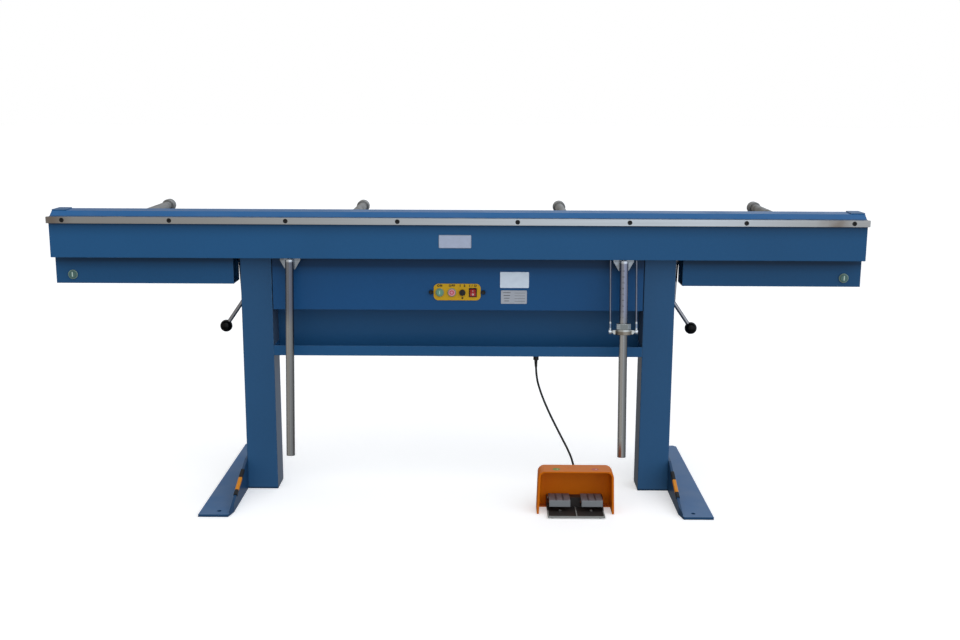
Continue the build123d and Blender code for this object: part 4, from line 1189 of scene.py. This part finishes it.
class BRAKE_OT_backstop_screws(bpy.types.Operator):
    """Thumb screws on the backstop collars"""

    bl_idname = "brake.backstop_screws"
    bl_label = "Backstop screws"

    def execute(self, context):
        sizes = context.scene.brake_fittings
        black = finish_of("black_gloss", glossy_black)
        seat_depth = 0.001
        for number in range(1, 5):
            node = f"backstop_collar_{number}"
            centre = middle(node)
            mesh = bmesh.new()
            base = Vector((centre.x, centre.y, low(node).z + seat_depth))
            thumb_screw(mesh, base, -UP, sizes.thumb_radius, sizes.thumb_height)
            piece(f"backstop_screw_{number}", mesh, f"backstop_{number}", [black])
        return {"FINISHED"}


# Foot switch fittings

BAY_SCREWS_X = (0.328, 0.427)
BAY_SCREWS_Y = -0.321
BAY_FLOOR = 0.005
BAY_SCREW_RADIUS = 0.005
BAY_SCREW_HEIGHT = 0.0032
HOOD_MARK_Y = -0.314
HOOD_DISC_SINK = 0.0002
HOOD_SPOT_SHIFT = 0.003
HOOD_SPOT_RISE = 0.0001


class BRAKE_OT_foot_switch_fittings(bpy.types.Operator):
    """Bay screws and pedal colour marks of the foot switch"""

    bl_idname = "brake.foot_switch_fittings"
    bl_label = "Foot switch fittings"

    def execute(self, context):
        zinc = finish_of("bright_zinc", fresh_zinc, context.scene.brake_colours.zinc_grey)
        green = finish_of("mark_green", printed, display(122, 144, 58))
        red = finish_of("mark_red", printed, display(192, 88, 64))
        cream = finish_of("mark_cream", printed, display(226, 216, 170))
        mesh = bmesh.new()
        for x in BAY_SCREWS_X:
            base = Vector((x, BAY_SCREWS_Y, BAY_FLOOR))
            socket_screw(mesh, base, UP, BAY_SCREW_RADIUS, BAY_SCREW_HEIGHT)
        piece("bay_screws", mesh, "frame", [zinc])
        top = high("foot_hood").z
        for name, x, finish in (("hood_mark_green", 0.315, green), ("hood_mark_red", 0.437, red)):
            disc = Vector((x, HOOD_MARK_Y, top - HOOD_DISC_SINK))
            spot = Vector((x + HOOD_SPOT_SHIFT, HOOD_MARK_Y, top + HOOD_SPOT_RISE))
            self.hood_mark(name, disc, finish, width=0.024, depth=0.023, corner=0.0114, thickness=0.0004)
            self.hood_mark(
                name + "_spot", spot, cream, width=0.005, depth=0.005, corner=0.0024, thickness=0.0003)
        return {"FINISHED"}

    def hood_mark(self, name, point, finish, width, depth, corner, thickness):
        """Thin round disc on top of the hood."""
        mesh = bmesh.new()
        plate(mesh, face_on(point, UP, BACK), width, depth, corner, thickness, rim=0.002, dish=0.0001)
        piece(name, mesh, "frame", [finish, finish])


class BRAKE_OT_cover_screws(bpy.types.Operator):
    """Screws that hold the rear cover and the end boxes"""

    bl_idname = "brake.cover_screws"
    bl_label = "Cover screws"

    def execute(self, context):
        radius = context.scene.brake_fittings.cover_screw_radius
        zinc = finish_of("bright_zinc", fresh_zinc, context.scene.brake_colours.zinc_grey)
        mesh = bmesh.new()
        for node, inset, count in (
                ("rear_cover", 0.016, 4), ("end_box_left", 0.02, 3), ("end_box_right", 0.02, 3)):
            floor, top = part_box(node)
            for step in range(count):
                x = floor.x + inset + (top.x - floor.x - 2 * inset) * step / (count - 1)
                for z in (floor.z + inset, top.z - inset):
                    socket_screw(mesh, Vector((x, top.y, z)), BACK, radius, radius * 0.6)
        piece("cover_screws", mesh, "frame", [zinc])
        return {"FINISHED"}


OPERATORS = (
    BRAKE_OT_stage, BRAKE_OT_foot_cable, BRAKE_OT_painted_solids, BRAKE_OT_steel_solids,
    BRAKE_OT_moulded_solids, BRAKE_OT_bare_plates, BRAKE_OT_control_marks, BRAKE_OT_stop_scale,
    BRAKE_OT_backstop_screws, BRAKE_OT_foot_switch_fittings, BRAKE_OT_cover_screws)


class BRAKE_PT_sidebar(bpy.types.Panel):
    """Sizes, colours and builders of the brake"""

    bl_idname = "BRAKE_PT_sidebar"
    bl_label = "Sheet metal brake"
    bl_space_type = "VIEW_3D"
    bl_region_type = "UI"
    bl_category = "Brake"

    def draw(self, context):
        for group in (context.scene.brake_colours, context.scene.brake_fittings, context.scene.brake_stage):
            box = self.layout.box()
            for name in group.__annotations__:
                box.prop(group, name)
        for operator in OPERATORS:
            self.layout.operator(operator.bl_idname)


CLASSES = (BrakeColours, BrakeFittings, BrakeStage, *OPERATORS, BRAKE_PT_sidebar)


def register():
    """Register the classes and give the scene its properties."""
    for made in CLASSES:
        bpy.utils.register_class(made)
    bpy.types.Scene.brake_colours = PointerProperty(type=BrakeColours)
    bpy.types.Scene.brake_fittings = PointerProperty(type=BrakeFittings)
    bpy.types.Scene.brake_stage = PointerProperty(type=BrakeStage)


def unregister():
    """Take the properties and classes away again."""
    del bpy.types.Scene.brake_stage
    del bpy.types.Scene.brake_fittings
    del bpy.types.Scene.brake_colours
    for made in reversed(CLASSES):
        bpy.utils.unregister_class(made)


def main():
    """Build the looks in order."""
    register()
    for operator in OPERATORS:
        getattr(bpy.ops.brake, operator.bl_idname.split(".")[1])()


if __name__ == "__main__":
    main()
